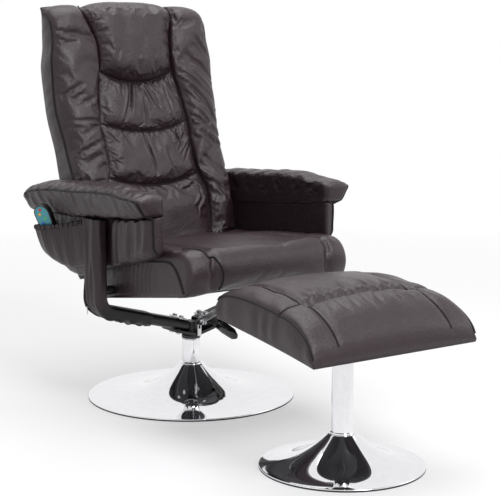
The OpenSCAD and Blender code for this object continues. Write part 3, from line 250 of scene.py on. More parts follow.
def settle(points, hold, loop, grow, pressure, cap):
    """How far leather with these held points moves when it is too large and is filled from behind."""
    rows, columns = hold.shape
    scene = bpy.context.scene
    obj = new_object("settling", points, quads(rows, columns, loop), None)
    flat = hold.reshape(-1)
    group = obj.vertex_groups.new(name="held")
    for level in np.unique(np.round(flat, 2)):
        if level > 0:
            group.add(np.flatnonzero(np.round(flat, 2) == level).tolist(), float(level), "REPLACE")
    cloth = obj.modifiers.new("Cloth", "CLOTH")
    for key, value in {**LEATHER_CLOTH, "uniform_pressure_force": pressure, "shrink_min": -grow}.items():
        setattr(cloth.settings, key, value)
    cloth.settings.effector_weights.gravity = 0
    cloth.collision_settings.use_collision = False
    cloth.point_cache.frame_end = SETTLE_FRAMES
    for at in range(1, SETTLE_FRAMES + 1):
        scene.frame_set(at)
    seen = obj.evaluated_get(bpy.context.evaluated_depsgraph_get())
    found = np.empty(rows * columns * 3, np.float32)
    seen.data.vertices.foreach_get("co", found)
    mesh = obj.data
    bpy.data.objects.remove(obj)
    bpy.data.meshes.remove(mesh)
    scene.frame_set(1)
    moved = found.reshape(rows, columns, 3) / MM - points
    far = np.linalg.norm(moved, axis=-1, keepdims=True)
    moved = np.nan_to_num(moved * np.minimum(1, cap / np.maximum(far, 1e-6)))
    return moved


def leather_sheet(shape, across, up, hold, grow, pressure, cap, loop=False, coarse=2):
    """Points of a sheet, row by row. shape gives points for places in 0..1 across and up, hold what is sewn.

    The leather is larger than its place by a share, grow, and moves cap millimetres at most. The simulation
    runs on a grid that is coarser by a whole number.
    """
    def places(a, b):
        u = np.arange(a) / a if loop else np.linspace(0, 1, a)
        return np.meshgrid(u, np.linspace(0, 1, b))

    u, v = places(across // coarse, up // coarse)
    moved = settle(shape(u, v), clip(hold(u, v)), loop, grow, pressure, cap)
    moved = spread(moved, up, False)
    moved = np.swapaxes(spread(np.swapaxes(moved, 0, 1), across, loop), 0, 1)
    u, v = places(across, up)
    return shape(u, v) + moved * (1 - clip(hold(u, v)))[..., None]


def pad(name, sheet, rim, finish):
    """A closed form: a sheet of points, and a back that its rim is drawn to. rim gives the back's points."""
    rows, columns = sheet.shape[:2]
    faces = quads(rows, columns)
    loop = ([(0, i) for i in range(columns - 1)] + [(j, columns - 1) for j in range(rows - 1)]
            + [(rows - 1, i) for i in range(columns - 1, 0, -1)] + [(j, 0) for j in range(rows - 1, 0, -1)])
    back = np.array([rim[j, i] for j, i in loop])
    count, around = rows * columns, len(loop)
    points = np.concatenate([sheet.reshape(-1, 3), back, back.mean(0)[None]])
    for k in range(around):
        (j, i), (m, n), l = loop[k], loop[(k + 1) % around], (k + 1) % around
        faces.append((m * columns + n, j * columns + i, count + k, count + l))
        faces.append((count + l, count + k, count + around))
    return face_out(new_object(name, points, faces, finish))


def tube(name, rings, finish, loop_ends=True):
    """A closed form through rings of points, with a point in the middle of each end."""
    rows, columns = rings.shape[:2]
    faces = quads(rows, columns, True)
    count = rows * columns
    points = np.concatenate([rings.reshape(-1, 3), rings[0].mean(0)[None], rings[-1].mean(0)[None]])
    for i in range(columns):
        k = (i + 1) % columns
        faces.append((k, i, count))
        faces.append(((rows - 1) * columns + i, (rows - 1) * columns + k, count + 1))
    return face_out(new_object(name, points, faces, finish))


def placed(obj, slot, body, node=None):
    """An object attached to its body, which stands for a solid where node names one. slot is not used."""
    if node:
        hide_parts(node)
    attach(obj, body)
    return obj


def flipped(points, side):
    """Points on the other side of the middle, where side is -1."""
    return points * np.array([side, 1, 1])


# Node trees
class Tree:
    """Adds nodes to a tree. A value that is a socket is linked, and anything else is set."""

    def __init__(self, tree):
        self.tree = tree

    def add(self, kind, inputs=None, **settings):
        node = self.tree.nodes.new(kind)
        for key, value in settings.items():
            setattr(node, key, value)
        for key, value in (inputs or {}).items():
            self.feed(node.inputs[key], value)
        return node

    def feed(self, socket, value):
        if isinstance(value, bpy.types.NodeSocket):
            self.tree.links.new(value, socket)
        else:
            socket.default_value = value

    def math(self, operation, a, b=0.0):
        return self.add("ShaderNodeMath", {0: a, 1: b}, operation=operation).outputs[0]

    def scaled(self, colour, share):
        node = self.add("ShaderNodeVectorMath", {0: colour}, operation="SCALE")
        self.feed(node.inputs["Scale"], share)
        return node.outputs[0]

    def times(self, a, b):
        return self.math("MULTIPLY", a, b)

    def plus(self, a, b):
        return self.math("ADD", a, b)

    def minus(self, a, b):
        return self.math("SUBTRACT", a, b)

    def mix(self, factor, a, b):
        node = self.add("ShaderNodeMix", data_type="RGBA")
        for socket, value in ((node.inputs[0], factor), (node.inputs[6], a), (node.inputs[7], b)):
            self.feed(socket, value)
        return node.outputs[2]


def shader_group(name, inputs, outputs):
    """An empty shader node group with named sockets."""
    tree = bpy.data.node_groups.new(name, "ShaderNodeTree")
    for label, kind, value in inputs:
        socket = tree.interface.new_socket(label, in_out="INPUT", socket_type=kind)
        if value is not None:
            socket.default_value = value
    for label, kind in outputs:
        tree.interface.new_socket(label, in_out="OUTPUT", socket_type=kind)
    build = Tree(tree)
    return tree, build, build.add("NodeGroupInput").outputs, build.add("NodeGroupOutput")


FLOAT, COLOUR, VECTOR = "NodeSocketFloat", "NodeSocketColor", "NodeSocketVector"


def hide_group():
    """Leather: pebbled grain, soft creases, random tone, and painted shade between the grain's pebbles."""
    tree, b, i, out = shader_group(
        "Hide", [("Place", VECTOR, None), ("Colour", COLOUR, (0.08, 0.06, 0.06, 1)), ("Grain", FLOAT, 900.0),
                 ("Crease", FLOAT, 1.0), ("Rough", FLOAT, 0.45)],
        [("Colour", COLOUR), ("Rough", FLOAT), ("Height", FLOAT)])
    cell = b.add("ShaderNodeTexVoronoi", {"Vector": i["Place"], "Scale": i["Grain"]},
                 feature="DISTANCE_TO_EDGE").outputs["Distance"]
    pebble = b.math("MINIMUM", b.times(cell, 3.0), 0.5)
    fine = b.add("ShaderNodeTexNoise", {"Vector": i["Place"], "Scale": 420.0, "Detail": 3.0}).outputs["Fac"]
    soft = b.add("ShaderNodeTexNoise", {"Vector": i["Place"], "Scale": 38.0, "Detail": 4.0, "Distortion": 1.6,
                                        "Roughness": 0.55}).outputs["Fac"]
    crease = b.math("ABSOLUTE", b.minus(soft, 0.5))
    crease = b.times(b.math("MINIMUM", b.times(crease, 9.0), 1.0), i["Crease"])
    wide = b.add("ShaderNodeTexNoise", {"Vector": i["Place"], "Scale": 7.0, "Detail": 2.0}).outputs["Fac"]
    shade = b.plus(b.times(wide, 0.34), 0.83)
    # Painted shade: the colour is darker in the grain's valleys, between its pebbles
    shade = b.times(shade, b.plus(b.times(pebble, 0.24), 0.88))
    rough = b.plus(i["Rough"], b.times(b.minus(wide, 0.5), 0.16))
    rough = b.plus(rough, b.times(pebble, -0.08))
    height = b.plus(b.times(pebble, 0.22), b.times(fine, 0.1))
    height = b.plus(height, b.times(crease, 0.5))
    b.feed(out.inputs["Colour"], b.scaled(i["Colour"], shade))
    b.feed(out.inputs["Rough"], rough)
    b.feed(out.inputs["Height"], height)
    return tree


def wear_group():
    """Metal and plastic: faint smudges in the gloss and a fine unevenness of the surface."""
    tree, b, i, out = shader_group(
        "Wear", [("Place", VECTOR, None), ("Colour", COLOUR, (0.5, 0.5, 0.5, 1)), ("Rough", FLOAT, 0.2),
                 ("Smudge", FLOAT, 0.05), ("Texture", FLOAT, 300.0)],
        [("Colour", COLOUR), ("Rough", FLOAT), ("Height", FLOAT)])
    wide = b.add("ShaderNodeTexNoise", {"Vector": i["Place"], "Scale": 22.0, "Detail": 4.0}).outputs["Fac"]
    fine = b.add("ShaderNodeTexNoise", {"Vector": i["Place"], "Scale": i["Texture"],
                                        "Detail": 2.0}).outputs["Fac"]
    rough = b.plus(i["Rough"], b.times(b.minus(wide, 0.4), i["Smudge"]))
    shade = b.plus(b.times(fine, 0.12), 0.94)
    b.feed(out.inputs["Colour"], b.scaled(i["Colour"], shade))
    b.feed(out.inputs["Rough"], rough)
    b.feed(out.inputs["Height"], fine)
    return tree


def weave_group():
    """Woven lining: two sets of threads that cross, with painted shade where they lie low."""
    tree, b, i, out = shader_group(
        "Weave", [("Place", VECTOR, None), ("Colour", COLOUR, (0.02, 0.02, 0.02, 1)),
                  ("Threads", FLOAT, 500.0)],
        [("Colour", COLOUR), ("Height", FLOAT)])
    part = b.add("ShaderNodeSeparateXYZ", {0: i["Place"]}).outputs
    warp = b.math("SINE", b.times(part[0], b.times(i["Threads"], math.tau)))
    weft = b.math("SINE", b.times(b.plus(part[1], part[2]), b.times(i["Threads"], math.tau)))
    thread = b.plus(b.times(b.times(warp, weft), 0.5), 0.5)
    # Painted shade: the colour is darker where the threads lie low, in the gaps between them
    shade = b.plus(b.times(thread, 0.7), 0.5)
    b.feed(out.inputs["Colour"], b.scaled(i["Colour"], shade))
    b.feed(out.inputs["Height"], thread)
    return tree


GROUPS = {"Hide": hide_group, "Wear": wear_group, "Weave": weave_group}


def group_named(name):
    return bpy.data.node_groups.get(name) or GROUPS[name]()


def finish_with(name, group, values, bump_m, **surface):
    """A material whose colour, roughness and bump come from a group. surface sets the shader's sockets."""
    name += "_finish"
    made = bpy.data.materials.get(name)
    if made:
        return made
    made = bpy.data.materials.new(name)
    made.use_nodes = True
    made.node_tree.nodes.clear()
    b = Tree(made.node_tree)
    place = b.add("ShaderNodeTexCoord").outputs["Object"]
    effect = b.add("ShaderNodeGroup", node_tree=group_named(group))
    b.feed(effect.inputs["Place"], place)
    for key, value in values.items():
        b.feed(effect.inputs[key], value(b, place) if callable(value) else value)
    shader = b.add("ShaderNodeBsdfPrincipled")
    b.feed(shader.inputs["Base Color"], effect.outputs["Colour"])
    if "Rough" in effect.outputs:
        b.feed(shader.inputs["Roughness"], effect.outputs["Rough"])
    raised = b.add("ShaderNodeBump", {"Height": effect.outputs["Height"], "Distance": bump_m,
                                      "Strength": 1.0})
    b.feed(shader.inputs["Normal"], raised.outputs[0])
    for key, value in surface.items():
        shader.inputs[key.replace("_", " ")].default_value = value
    b.feed(b.add("ShaderNodeOutputMaterial").inputs["Surface"], shader.outputs[0])
    return made


def rgb(value):
    """A colour for a shader's socket from a colour property."""
    return (*value[:3], 1.0)


def darker_low(b, place, colour):
    """Nearly black below the bend of the frame's bars, where the sleeves are of vinyl."""
    high = b.add("ShaderNodeSeparateXYZ", {0: place}).outputs[2]
    upper = b.add("ShaderNodeMapRange", {"Value": high, "From Min": 0.268, "From Max": 0.29}).outputs[0]
    return b.mix(upper, rgb([c * 0.2 for c in colour]), colour)


# Slot: colour, roughness, strength of the smudges, grains of the texture, and its height in metres
PLAIN_FINISHES = {
    "floor_rubber": ((0.012, 0.012, 0.013), 0.62, 0.1, 700.0, 0.0002),
    "black_steel": ((0.014, 0.014, 0.016), 0.36, 0.15, 1500.0, 0.0001),
    "black_plastic": ((0.015, 0.015, 0.017), 0.4, 0.12, 1800.0, 0.00015),
    "gloss_black_plastic": ((0.008, 0.008, 0.009), 0.13, 0.08, 200.0, 0.00003),
    "plywood": ((0.46, 0.31, 0.17), 0.6, 0.1, 120.0, 0.0003),
    "teal_plastic": ((0.055, 0.3, 0.36), 0.3, 0.08, 400.0, 0.00003),
    "red_plastic": ((0.62, 0.03, 0.03), 0.35, 0.05, 400.0, 0.00003),
    "orange_plastic": ((0.85, 0.4, 0.04), 0.35, 0.05, 400.0, 0.00003),
    "green_plastic": ((0.1, 0.55, 0.16), 0.35, 0.05, 400.0, 0.00003),
    "blue_plastic": ((0.03, 0.14, 0.62), 0.35, 0.05, 400.0, 0.00003),
}


def finish(slot):
    """The material of one of the record's slots, or of a seam or trim that has no slot of its own."""
    look = bpy.context.scene.recliner_leather
    metal = bpy.context.scene.recliner_metal
    if slot in ("brown_leather", "dark_leather", "piping_leather"):
        colour = rgb(look.colour)
        if slot == "piping_leather":
            # Painted shade: the piping is the leather darkened to near black, for the shade in the seams'
            # valleys
            return finish_with(slot, "Hide", {"Colour": rgb([c * 0.2 for c in colour]), "Grain": look.grain,
                                              "Crease": 0.2, "Rough": 0.58}, 0.0004, Specular_IOR_Level=0.25)
        if slot == "dark_leather":
            colour = lambda b, place: darker_low(b, place, rgb(look.colour))
        return finish_with(slot, "Hide", {"Colour": colour, "Grain": look.grain, "Crease": 1.0,
                                          "Rough": look.roughness}, 0.0006, Specular_IOR_Level=0.42)
    if slot == "chrome_plate":
        return finish_with(slot, "Wear", {"Colour": rgb(metal.chrome), "Rough": 0.035, "Smudge": 0.03,
                                          "Texture": 60.0}, 0.00001, Metallic=1.0)
    if slot == "zinc_steel":
        return finish_with(slot, "Wear", {"Colour": (0.62, 0.62, 0.63, 1), "Rough": 0.28, "Smudge": 0.2,
                                          "Texture": 900.0}, 0.00005, Metallic=1.0)
    if slot == "black_lining":
        return finish_with(slot, "Weave", {"Colour": (0.02, 0.02, 0.022, 1), "Threads": 650.0}, 0.0004,
                           Roughness=0.85, Sheen_Weight=0.3)
    colour, rough, smudge, texture, height = PLAIN_FINISHES[slot]
    return finish_with(slot, "Wear", {"Colour": (*colour, 1.0), "Rough": rough, "Smudge": smudge,
                                      "Texture": texture}, height, Specular_IOR_Level=0.5)


# Geometry node tools
def geometry_tree(name, inputs):
    """An empty geometry tree with a mesh in, a mesh out, named sizes and a material."""
    tree = bpy.data.node_groups.new(name, "GeometryNodeTree")
    tree.interface.new_socket("Geometry", in_out="INPUT", socket_type="NodeSocketGeometry")
    for label, kind, value in inputs:
        tree.interface.new_socket(label, in_out="INPUT", socket_type=kind).default_value = value
    tree.interface.new_socket("Material", in_out="INPUT", socket_type="NodeSocketMaterial")
    tree.interface.new_socket("Geometry", in_out="OUTPUT", socket_type="NodeSocketGeometry")
    build = Tree(tree)
    return tree, build, build.add("NodeGroupInput").outputs, build.add("NodeGroupOutput")


def closing_nodes(b, geometry, material):
    """Turns what a tree made into one smooth mesh of one material."""
    real = b.add("GeometryNodeRealizeInstances", {"Geometry": geometry}).outputs[0]
    smooth = b.add("GeometryNodeSetShadeSmooth", {"Geometry": real}).outputs[0]
    return b.add("GeometryNodeSetMaterial", {"Geometry": smooth, "Material": material}).outputs[0]


def piping_tree():
    """A round cord along each line."""
    tree, b, i, out = geometry_tree("Piping", [("Radius", FLOAT, 0.002), ("Step", FLOAT, 0.004)])
    line = b.add("GeometryNodeResampleCurve", {"Curve": i["Geometry"], "Length": i["Step"]}, mode="LENGTH")
    ring = b.add("GeometryNodeCurvePrimitiveCircle", {"Resolution": 10, "Radius": i["Radius"]})
    cord = b.add("GeometryNodeCurveToMesh", {"Curve": line.outputs[0], "Profile Curve": ring.outputs[0],
                                             "Fill Caps": True})
    b.feed(out.inputs[0], closing_nodes(b, cord.outputs[0], i["Material"]))
    return tree


def row_tree():
    """Small blocks at even steps along each line, such as the teeth of a zip or the pleats of a hem."""
    tree, b, i, out = geometry_tree("Row", [("Step", FLOAT, 0.003), ("Size", VECTOR, (0.002, 0.001, 0.001))])
    line = b.add("GeometryNodeCurveToPoints", {"Curve": i["Geometry"], "Length": i["Step"]}, mode="LENGTH")
    ball = b.add("GeometryNodeMeshUVSphere", {"Segments": 8, "Rings": 5, "Radius": 0.5})
    copies = b.add("GeometryNodeInstanceOnPoints", {
        "Points": line.outputs["Points"], "Instance": ball.outputs[0], "Rotation": line.outputs["Rotation"],
        "Scale": i["Size"]})
    b.feed(out.inputs[0], closing_nodes(b, copies.outputs[0], i["Material"]))
    return tree


def trumpet_tree():
    """A round foot of pressed steel: a flat rim that sweeps up to the column."""
    sizes = [("Disc Radius", 0.283), ("Neck Radius", 0.032), ("Column Radius", 0.025), ("Low", 0.004),
             ("High", 0.09), ("Power", 3.2), ("Wall", 0.002)]
    tree, b, i, out = geometry_tree("Trumpet", [(n, FLOAT, v) for n, v in sizes]
                                    + [("Around", "NodeSocketInt", 192), ("Rows", "NodeSocketInt", 96)])
    plane = b.add("GeometryNodeMeshGrid", {"Size X": 1.0, "Size Y": 1.0, "Vertices X": i["Around"],
                                           "Vertices Y": i["Rows"]})
    spot = b.add("ShaderNodeSeparateXYZ", {0: b.add("GeometryNodeInputPosition").outputs[0]}).outputs
    turn = b.times(b.plus(spot[0], 0.5), math.tau)
    t = b.plus(spot[1], 0.5)
    # The first twentieth rolls down round the rim, and the last twentieth is the flat lip at the neck
    rim = b.math("MINIMUM", b.times(t, 20.0), 1.0)
    body = b.math("MINIMUM", b.math("MAXIMUM", b.math("DIVIDE", b.minus(t, 0.05), 0.9), 0.0), 1.0)
    lip = b.math("MAXIMUM", b.math("DIVIDE", b.minus(t, 0.95), 0.05), 0.0)
    wide = b.minus(i["Disc Radius"], b.times(body, b.minus(i["Disc Radius"], i["Neck Radius"])))
    wide = b.minus(wide, b.times(lip, b.minus(i["Neck Radius"], i["Column Radius"])))
    low = b.plus(i["Low"], i["Wall"])
    high = b.plus(low, b.times(b.minus(i["High"], low), b.math("POWER", body, i["Power"])))
    # The rim is a quarter round as high as the wall
    angle = b.times(rim, math.pi / 2)
    high = b.minus(high, b.times(i["Wall"], b.minus(1.0, b.math("SINE", angle))))
    wide = b.minus(wide, b.times(i["Wall"], b.minus(1.0, b.math("COSINE", angle))))
    wide = b.plus(wide, b.times(i["Wall"], b.math("MINIMUM", b.times(body, 40.0), 1.0)))
    place = b.add("ShaderNodeCombineXYZ", {0: b.times(wide, b.math("COSINE", turn)),
                                           1: b.times(wide, b.math("SINE", turn)), 2: high})
    moved = b.add("GeometryNodeSetPosition", {"Geometry": plane.outputs[0], "Position": place.outputs[0]})
    merged = b.add("GeometryNodeMergeByDistance", {"Geometry": moved.outputs[0], "Distance": 0.00001})
    b.feed(out.inputs[0], closing_nodes(b, merged.outputs[0], i["Material"]))
    return tree


def worked(obj, tree, values, name):
    """A plain mesh object of what a geometry tree makes from obj, which is removed."""
    change = obj.modifiers.new("Make", "NODES")
    change.node_group = tree
    labels = {s.name: s.identifier for s in tree.interface.items_tree if s.in_out == "INPUT"}
    for label, value in values.items():
        change[labels[label]] = value
    seen = obj.evaluated_get(bpy.context.evaluated_depsgraph_get())
    made = linked(name, bpy.data.meshes.new_from_object(seen))
    bpy.data.objects.remove(obj)
    return made


def lines_object(lines):
    """A curve object with one open line for each list of points in millimetres."""
    data = bpy.data.curves.new("lines", "CURVE")
    data.dimensions = "3D"
    for points in lines:
        points = np.asarray(points, float)
        spline = data.splines.new("POLY")
        spline.points.add(len(points) - 1)
        spline.points.foreach_set("co", np.c_[points * MM, np.ones(len(points))].ravel())
    return linked("lines", data)


def smooth_line(points, count):
    """More points on a smooth line through the given ones."""
    return spread(np.asarray(points, float), count, False)


PIPING_STEP = 0.004


def piping(name, lines, body, slot, radius=None):
    """A cord along each line of points in millimetres, near black as painted shade of the seam's valley."""
    tree = bpy.data.node_groups.get("Piping") or piping_tree()
    radius = radius or bpy.context.scene.recliner_leather.piping
    made = worked(lines_object(lines), tree,
                  {"Radius": radius, "Step": PIPING_STEP, "Material": finish("piping_leather")}, name)
    return placed(made, slot, body)


def polished(node, name, body, slot, bevel):
    """A copy of a hard CAD node with its edges rounded off, which stands for the node."""
    mesh = frame["nodes"][node].data.copy()
    work = bmesh.new()
    work.from_mesh(mesh)
    bmesh.ops.remove_doubles(work, verts=work.verts, dist=2e-6)
    bmesh.ops.dissolve_limit(work, angle_limit=math.radians(1), verts=work.verts, edges=work.edges)
    work.to_mesh(mesh)
    work.free()
    mesh.materials.clear()
    mesh.materials.append(finish(slot))
    mesh.shade_smooth()
    obj = linked(name, mesh)
    edge = obj.modifiers.new("Bevel", "BEVEL")
    edge.width = bevel
    edge.segments = 3
    edge.limit_method = "ANGLE"
    edge.angle_limit = math.radians(35)
    edge.harden_normals = True
    return placed(obj, slot, body, node)


# Shapes the frame's source gives
ARM_L = ARM_FRONT + ARM_REAR
# Between neighbours, and from a panel's front down to its seams
GAP = 0.3
SEAM_DEEP = 14.0
# How far the padding bows forward at the headrest, and how deep it is in front of its flat rear there
HEAD_BOW = 15.0
HEAD_DEPTH = BACK_FRONT + HEAD_BOW - BACK_PAD
# Below this height the padding turns round the hinge, and doesn't swell
HINGE_ZONE = 62
# The bolsters' top, as a height and as how far it drops at their outer edge
BOLSTER_TOP = BACK_L * 0.985
BOLSTER_DROP = 7


def seam_z(y):
    forward = clip((ARM_REAR - y) / ARM_L)
    return lerp(SEAM_REAR_Z, SEAM_FRONT_Z, forward ** 1.8)


def arm_bottom(share):
    return ARM_LOW + np.interp(share, *np.array(ARM_LOW_ROWS).T) * (SEAM_FRONT_Z - ARM_LOW)


def panel_half(z):
    return BACK_TOP_HALF * curve(SEAM_ROWS, z / BACK_L)


def outer_edge(z):
    wide = lerp(BACK_HALF, BACK_TOP_HALF, ease((z / BACK_L - 0.42) / 0.18)) - 9 * ease((z - 560) / 70)
    return np.where(z < HINGE_ZONE, lerp(220, wide, ease((z - 48) / (HINGE_ZONE - 48))), wide)


def padding_front(z):
    bow = HEAD_BOW * ease((z / BACK_L - 0.62) / 0.26)
    return np.where(z < 0, -np.sqrt(np.maximum(0, BACK_FRONT ** 2 - z * z)), -BACK_FRONT) - bow


# The back's side edges: height, and place from front to rear of the piping and of the boxing's rear edge
PIPING_EDGE = [(-46, -8), (30, -12), (100, -18), (240, -20), (300, -11), (400, -8), (473, -15), (560, -36),
               (620, -48), (670, -52), (712, -36), (737, -20)]
REAR_EDGE = [(-46, 40), (-20, 56), (100, 58), (268, 58), (386, 52), (477, 44), (543, 36), (594, 26),
             (640, 12), (680, -2), (712, -12), (737, -17)]


def piping_y(z):
    return curve(PIPING_EDGE, z)


def rear_y(z):
    return np.maximum(curve(REAR_EDGE, z), piping_y(z) + 2)


def swell(z):
    return clip((z - HINGE_ZONE) / 70)


def both_ends(t, wide):
    return arch(t / wide) * arch((1 - t) / wide)


def gathers(seed, count, half, seam, long, lean, wide, high):
    """Marks of folds that hang from a seam. seam gives its height and lean how far a fold drifts."""
    draw = random.Random(seed)
    marks = []
    for k in range(count):
        x = lerp(-half, half, (k + 0.5 + draw.uniform(-0.32, 0.32)) / count)
        reach = long * draw.uniform(0.5, 1.1)
        marks.append((x, seam(x), x + lean(x) * reach, seam(x) - reach, wide * draw.uniform(0.7, 1.3),
                      high * draw.uniform(0.5, 1.2), draw.uniform(-5, 5)))
    return marks


def leather_piece(node, body, obj):
    """A padded piece of brown leather. node names the solid that it stands for, if there is one."""
    placed(obj, "brown_leather", body, node)


def hold_rim(soft, high=1.0):
    """Where a sheet is sewn: its rim, and less and less up to soft away from it. high is for its top edge."""
    def held(u, v):
        near = [1 - clip(u / soft), 1 - clip((1 - u) / soft), 1 - clip(v / soft),
                high * (1 - clip((1 - v) / soft))]
        return np.maximum.reduce([n ** 2 for n in near])
    return held


def on_surface(obj, points, out=0.4):
    """Points in millimetres set on the surface of an object, a little way out of it."""
    tree = BVHTree.FromPolygons([v.co[:] for v in obj.data.vertices],
                                [p.vertices[:] for p in obj.data.polygons])
    found = []
    for point in points:
        place, normal, _, _ = tree.find_nearest(Vector(np.asarray(point, float) * MM))
        found.append(np.array(place + normal * out * MM) / MM)
    return np.array(found)


# Arms
def arm_side_shape(side, seed):
    """The outer face of an arm's side, puffed in front and drawn in at its rim."""
    def shape(u, v):
        y = u * ARM_L - ARM_FRONT
        z = lerp(arm_bottom(u), seam_z(y), v)
        rim = both_ends(u, 0.06) * arch(v / 0.25) * lerp(0.55, 1, arch((1 - v) / 0.1))
        belly = 18 * (1 - clip(u / 0.36) ** 4)
        x = ARM_IN + lerp(9.6, ARM_T + belly, rim)
        folds = strokes(y, z, ARM_MARKS) + ripples(y, z, seed, 90, 0.7)
        x = x + folds * rim * lerp(0.35, 1, clip((250 - y) / 60)) * np.where((y > -45) & (y < 52), 0.1, 1)
        return flipped(xyz(x, y, z), side)
    return shape


# Folds of the arm's side: upright puffs in front of the sleeve and soft creases towards the rear
ARM_MARKS = [(-250, 500, -236, 430, 11, 2.6, 3), (-215, 520, -196, 420, 13, 3, -4),
             (-170, 522, -150, 400, 12, 3, 5), (-120, 515, -108, 385, 13, 3.2, -5),
             (-78, 505, -66, 372, 10, 3, 4), (-58, 440, -50, 368, 7, 2.4, 0), (70, 490, 84, 400, 12, 1.6, 4),
             (130, 480, 150, 390, 14, 1.8, -4), (230, 470, 250, 400, 12, 1.6, 3)]


def arm_inner_shape(side, seed):
    """The inner face of an arm's side, nearly flat."""
    def shape(u, v):
        y = u * ARM_L - ARM_FRONT
        z = lerp(arm_bottom(u), seam_z(y), v)
        rim = both_ends(u, 0.03) * arch(v / 0.08)
        x = ARM_IN + 4 * (1 - rim) + 0.8 + 0.5 * ripples(y, z, seed, 120, 0.9)
        return flipped(xyz(np.maximum(x, ARM_IN), y, z), side)
    return shape


def two_sheets(name, outer, inner, finish):
    """A closed form of two sheets with equal grids, whose rims are joined."""
    rows, columns = outer.shape[:2]
    front = quads(rows, columns)
    count = rows * columns
    loop = ([i for i in range(columns - 1)] + [j * columns + columns - 1 for j in range(rows - 1)]
            + [(rows - 1) * columns + i for i in range(columns - 1, 0, -1)]
            + [j * columns for j in range(rows - 1, 0, -1)])
    faces = front + [tuple(count + k for k in reversed(face)) for face in front]
    for k, here in enumerate(loop):
        after = loop[(k + 1) % len(loop)]
        faces.append((after, here, count + here, count + after))
    return face_out(new_object(name, np.concatenate([outer.reshape(-1, 3), inner.reshape(-1, 3)]), faces,
                               finish))


def roll_ring(s):
    """The arm roll's section at a share of its length: across from the arm's inner face, and height."""
    section = spread(np.array(ROLL_SECTION), 96, True)
    ends = lerp(0.8, 1, both_ends(s, 0.035))
    y = lerp(-ARM_FRONT, ARM_REAR + 12, s)
    x = ARM_IN + ROLL_W * lerp(0.5, section[:, 0], ends)
    z = seam_z(y) + GAP + ROLL_H * curve(ROLL_TOP_ROWS, s) * lerp(0.5, section[:, 1], ends)
    return x, np.full(96, y), z


def arm_roll_shape(side, seed):
    """An arm's roll with the folds across it."""
    def shape(u, v):
        points = np.empty(u.shape + (3,))
        for row, s in enumerate(v[:, 0]):
            points[row] = spread(xyz(*roll_ring(s)), u.shape[1], True)
        middle = points.mean(1, keepdims=True)
        out = points - middle
        out /= np.linalg.norm(out, axis=-1, keepdims=True)
        y = points[..., 1]
        turn = np.arctan2(out[..., 2], out[..., 0])
        folds = strokes(y, turn * 45, ROLL_MARKS) + ripples(y, turn * 45, seed, 80, 0.7)
        return flipped(points + out * folds[..., None] * both_ends(v, 0.04)[..., None], side)
    return shape


# Folds across the arm's roll: place along it, and the way round it in millimetres
ROLL_MARKS = [(-262, -30, -240, 40, 9, 1.6, 2), (-236, -40, -222, 20, 9, 1.4, -2),
              (-190, -36, -180, 10, 12, 1.3, 0), (-30, -40, -20, 0, 12, 1.4, 3),
              (60, -38, 70, 10, 12, 1.3, -3), (250, -30, 262, 30, 12, 1.6, 2),
              (300, -40, 306, 40, 10, 1.8, -2)]


def cap_rings(points, bulge, axis, count=7):
    """Rings that close the first end of a form, drawn in to its middle with a little bulge."""
    middle = points.mean(0)
    rings = []
    for k in range(count, 0, -1):
        a = math.pi / 2 * k / (count + 1)
        ring = middle + (points - middle) * math.cos(a)
        ring[:, axis] += bulge * math.sin(a)
        rings.append(ring)
    return rings


def build_arm(side):
    """One arm's side and roll, with the piping along the roll and down the front."""
    label = "left" if side < 0 else "right"
    seed = 20 + side
    shape = arm_side_shape(side, seed)
    outer = leather_sheet(shape, 132, 44, hold_rim(0.1), grow=0.02, pressure=0.6 * side, cap=3)
    outer[..., 0] = side * np.clip(side * outer[..., 0], ARM_IN + 2, None)
    inner = arm_inner_shape(side, seed + 4)(*grid(132, 44))
    made = two_sheets(f"arm_side_leather_{label}", outer, inner, finish("brown_leather"))
    leather_piece(f"arm_side_{label}", "chair_frame", made)

    def sewn(u, v):
        x = np.abs(((u + 0.03) % 1) - 0.5) * 2
        return np.maximum(0.25, 1 - both_ends(v, 0.08)) + (x > 0.86)

    rings = leather_sheet(arm_roll_shape(side, seed + 8), 96, 124, sewn, loop=True, grow=0.02,
                          pressure=-0.5 * side, cap=2.5)
    rings[..., 0] = side * np.clip(side * rings[..., 0], ARM_IN, None)
    rows = cap_rings(rings[0], -5, 1) + list(rings) + cap_rings(rings[-1], 5, 1)[::-1]
    roll = tube(f"arm_roll_leather_{label}", np.array(rows), finish("brown_leather"))
    leather_piece(f"arm_roll_{label}", "chair_frame", roll)

    crest = [roll_point(side, s, 34) for s in np.linspace(0.97, 0.012, 110)]
    corner = [roll_point(side, 0.01, k) for k in range(33, 13, -2)]
    down = shape(np.full(30, 0.012), np.linspace(0.96, 0.02, 30))
    line = np.concatenate([on_surface(roll, crest + corner, 0.8), on_surface(made, down, 0.8)])
    piping(f"arm_piping_{label}", [line], "chair_frame", "brown_leather", 0.003)


def roll_point(side, share, place):
    """A point of the roll's section, counted round it, at a share of the roll's length."""
    x, y, z = roll_ring(share)
    return side * x[place], y[place], z[place]


# Seat

# The seat's front radius, and the heights and the crown of its top
SEAT_NOSE = 54
SEAT_TOP_FRONT = 464
SEAT_TOP_REAR = 430
SEAT_CROWN = 11.76


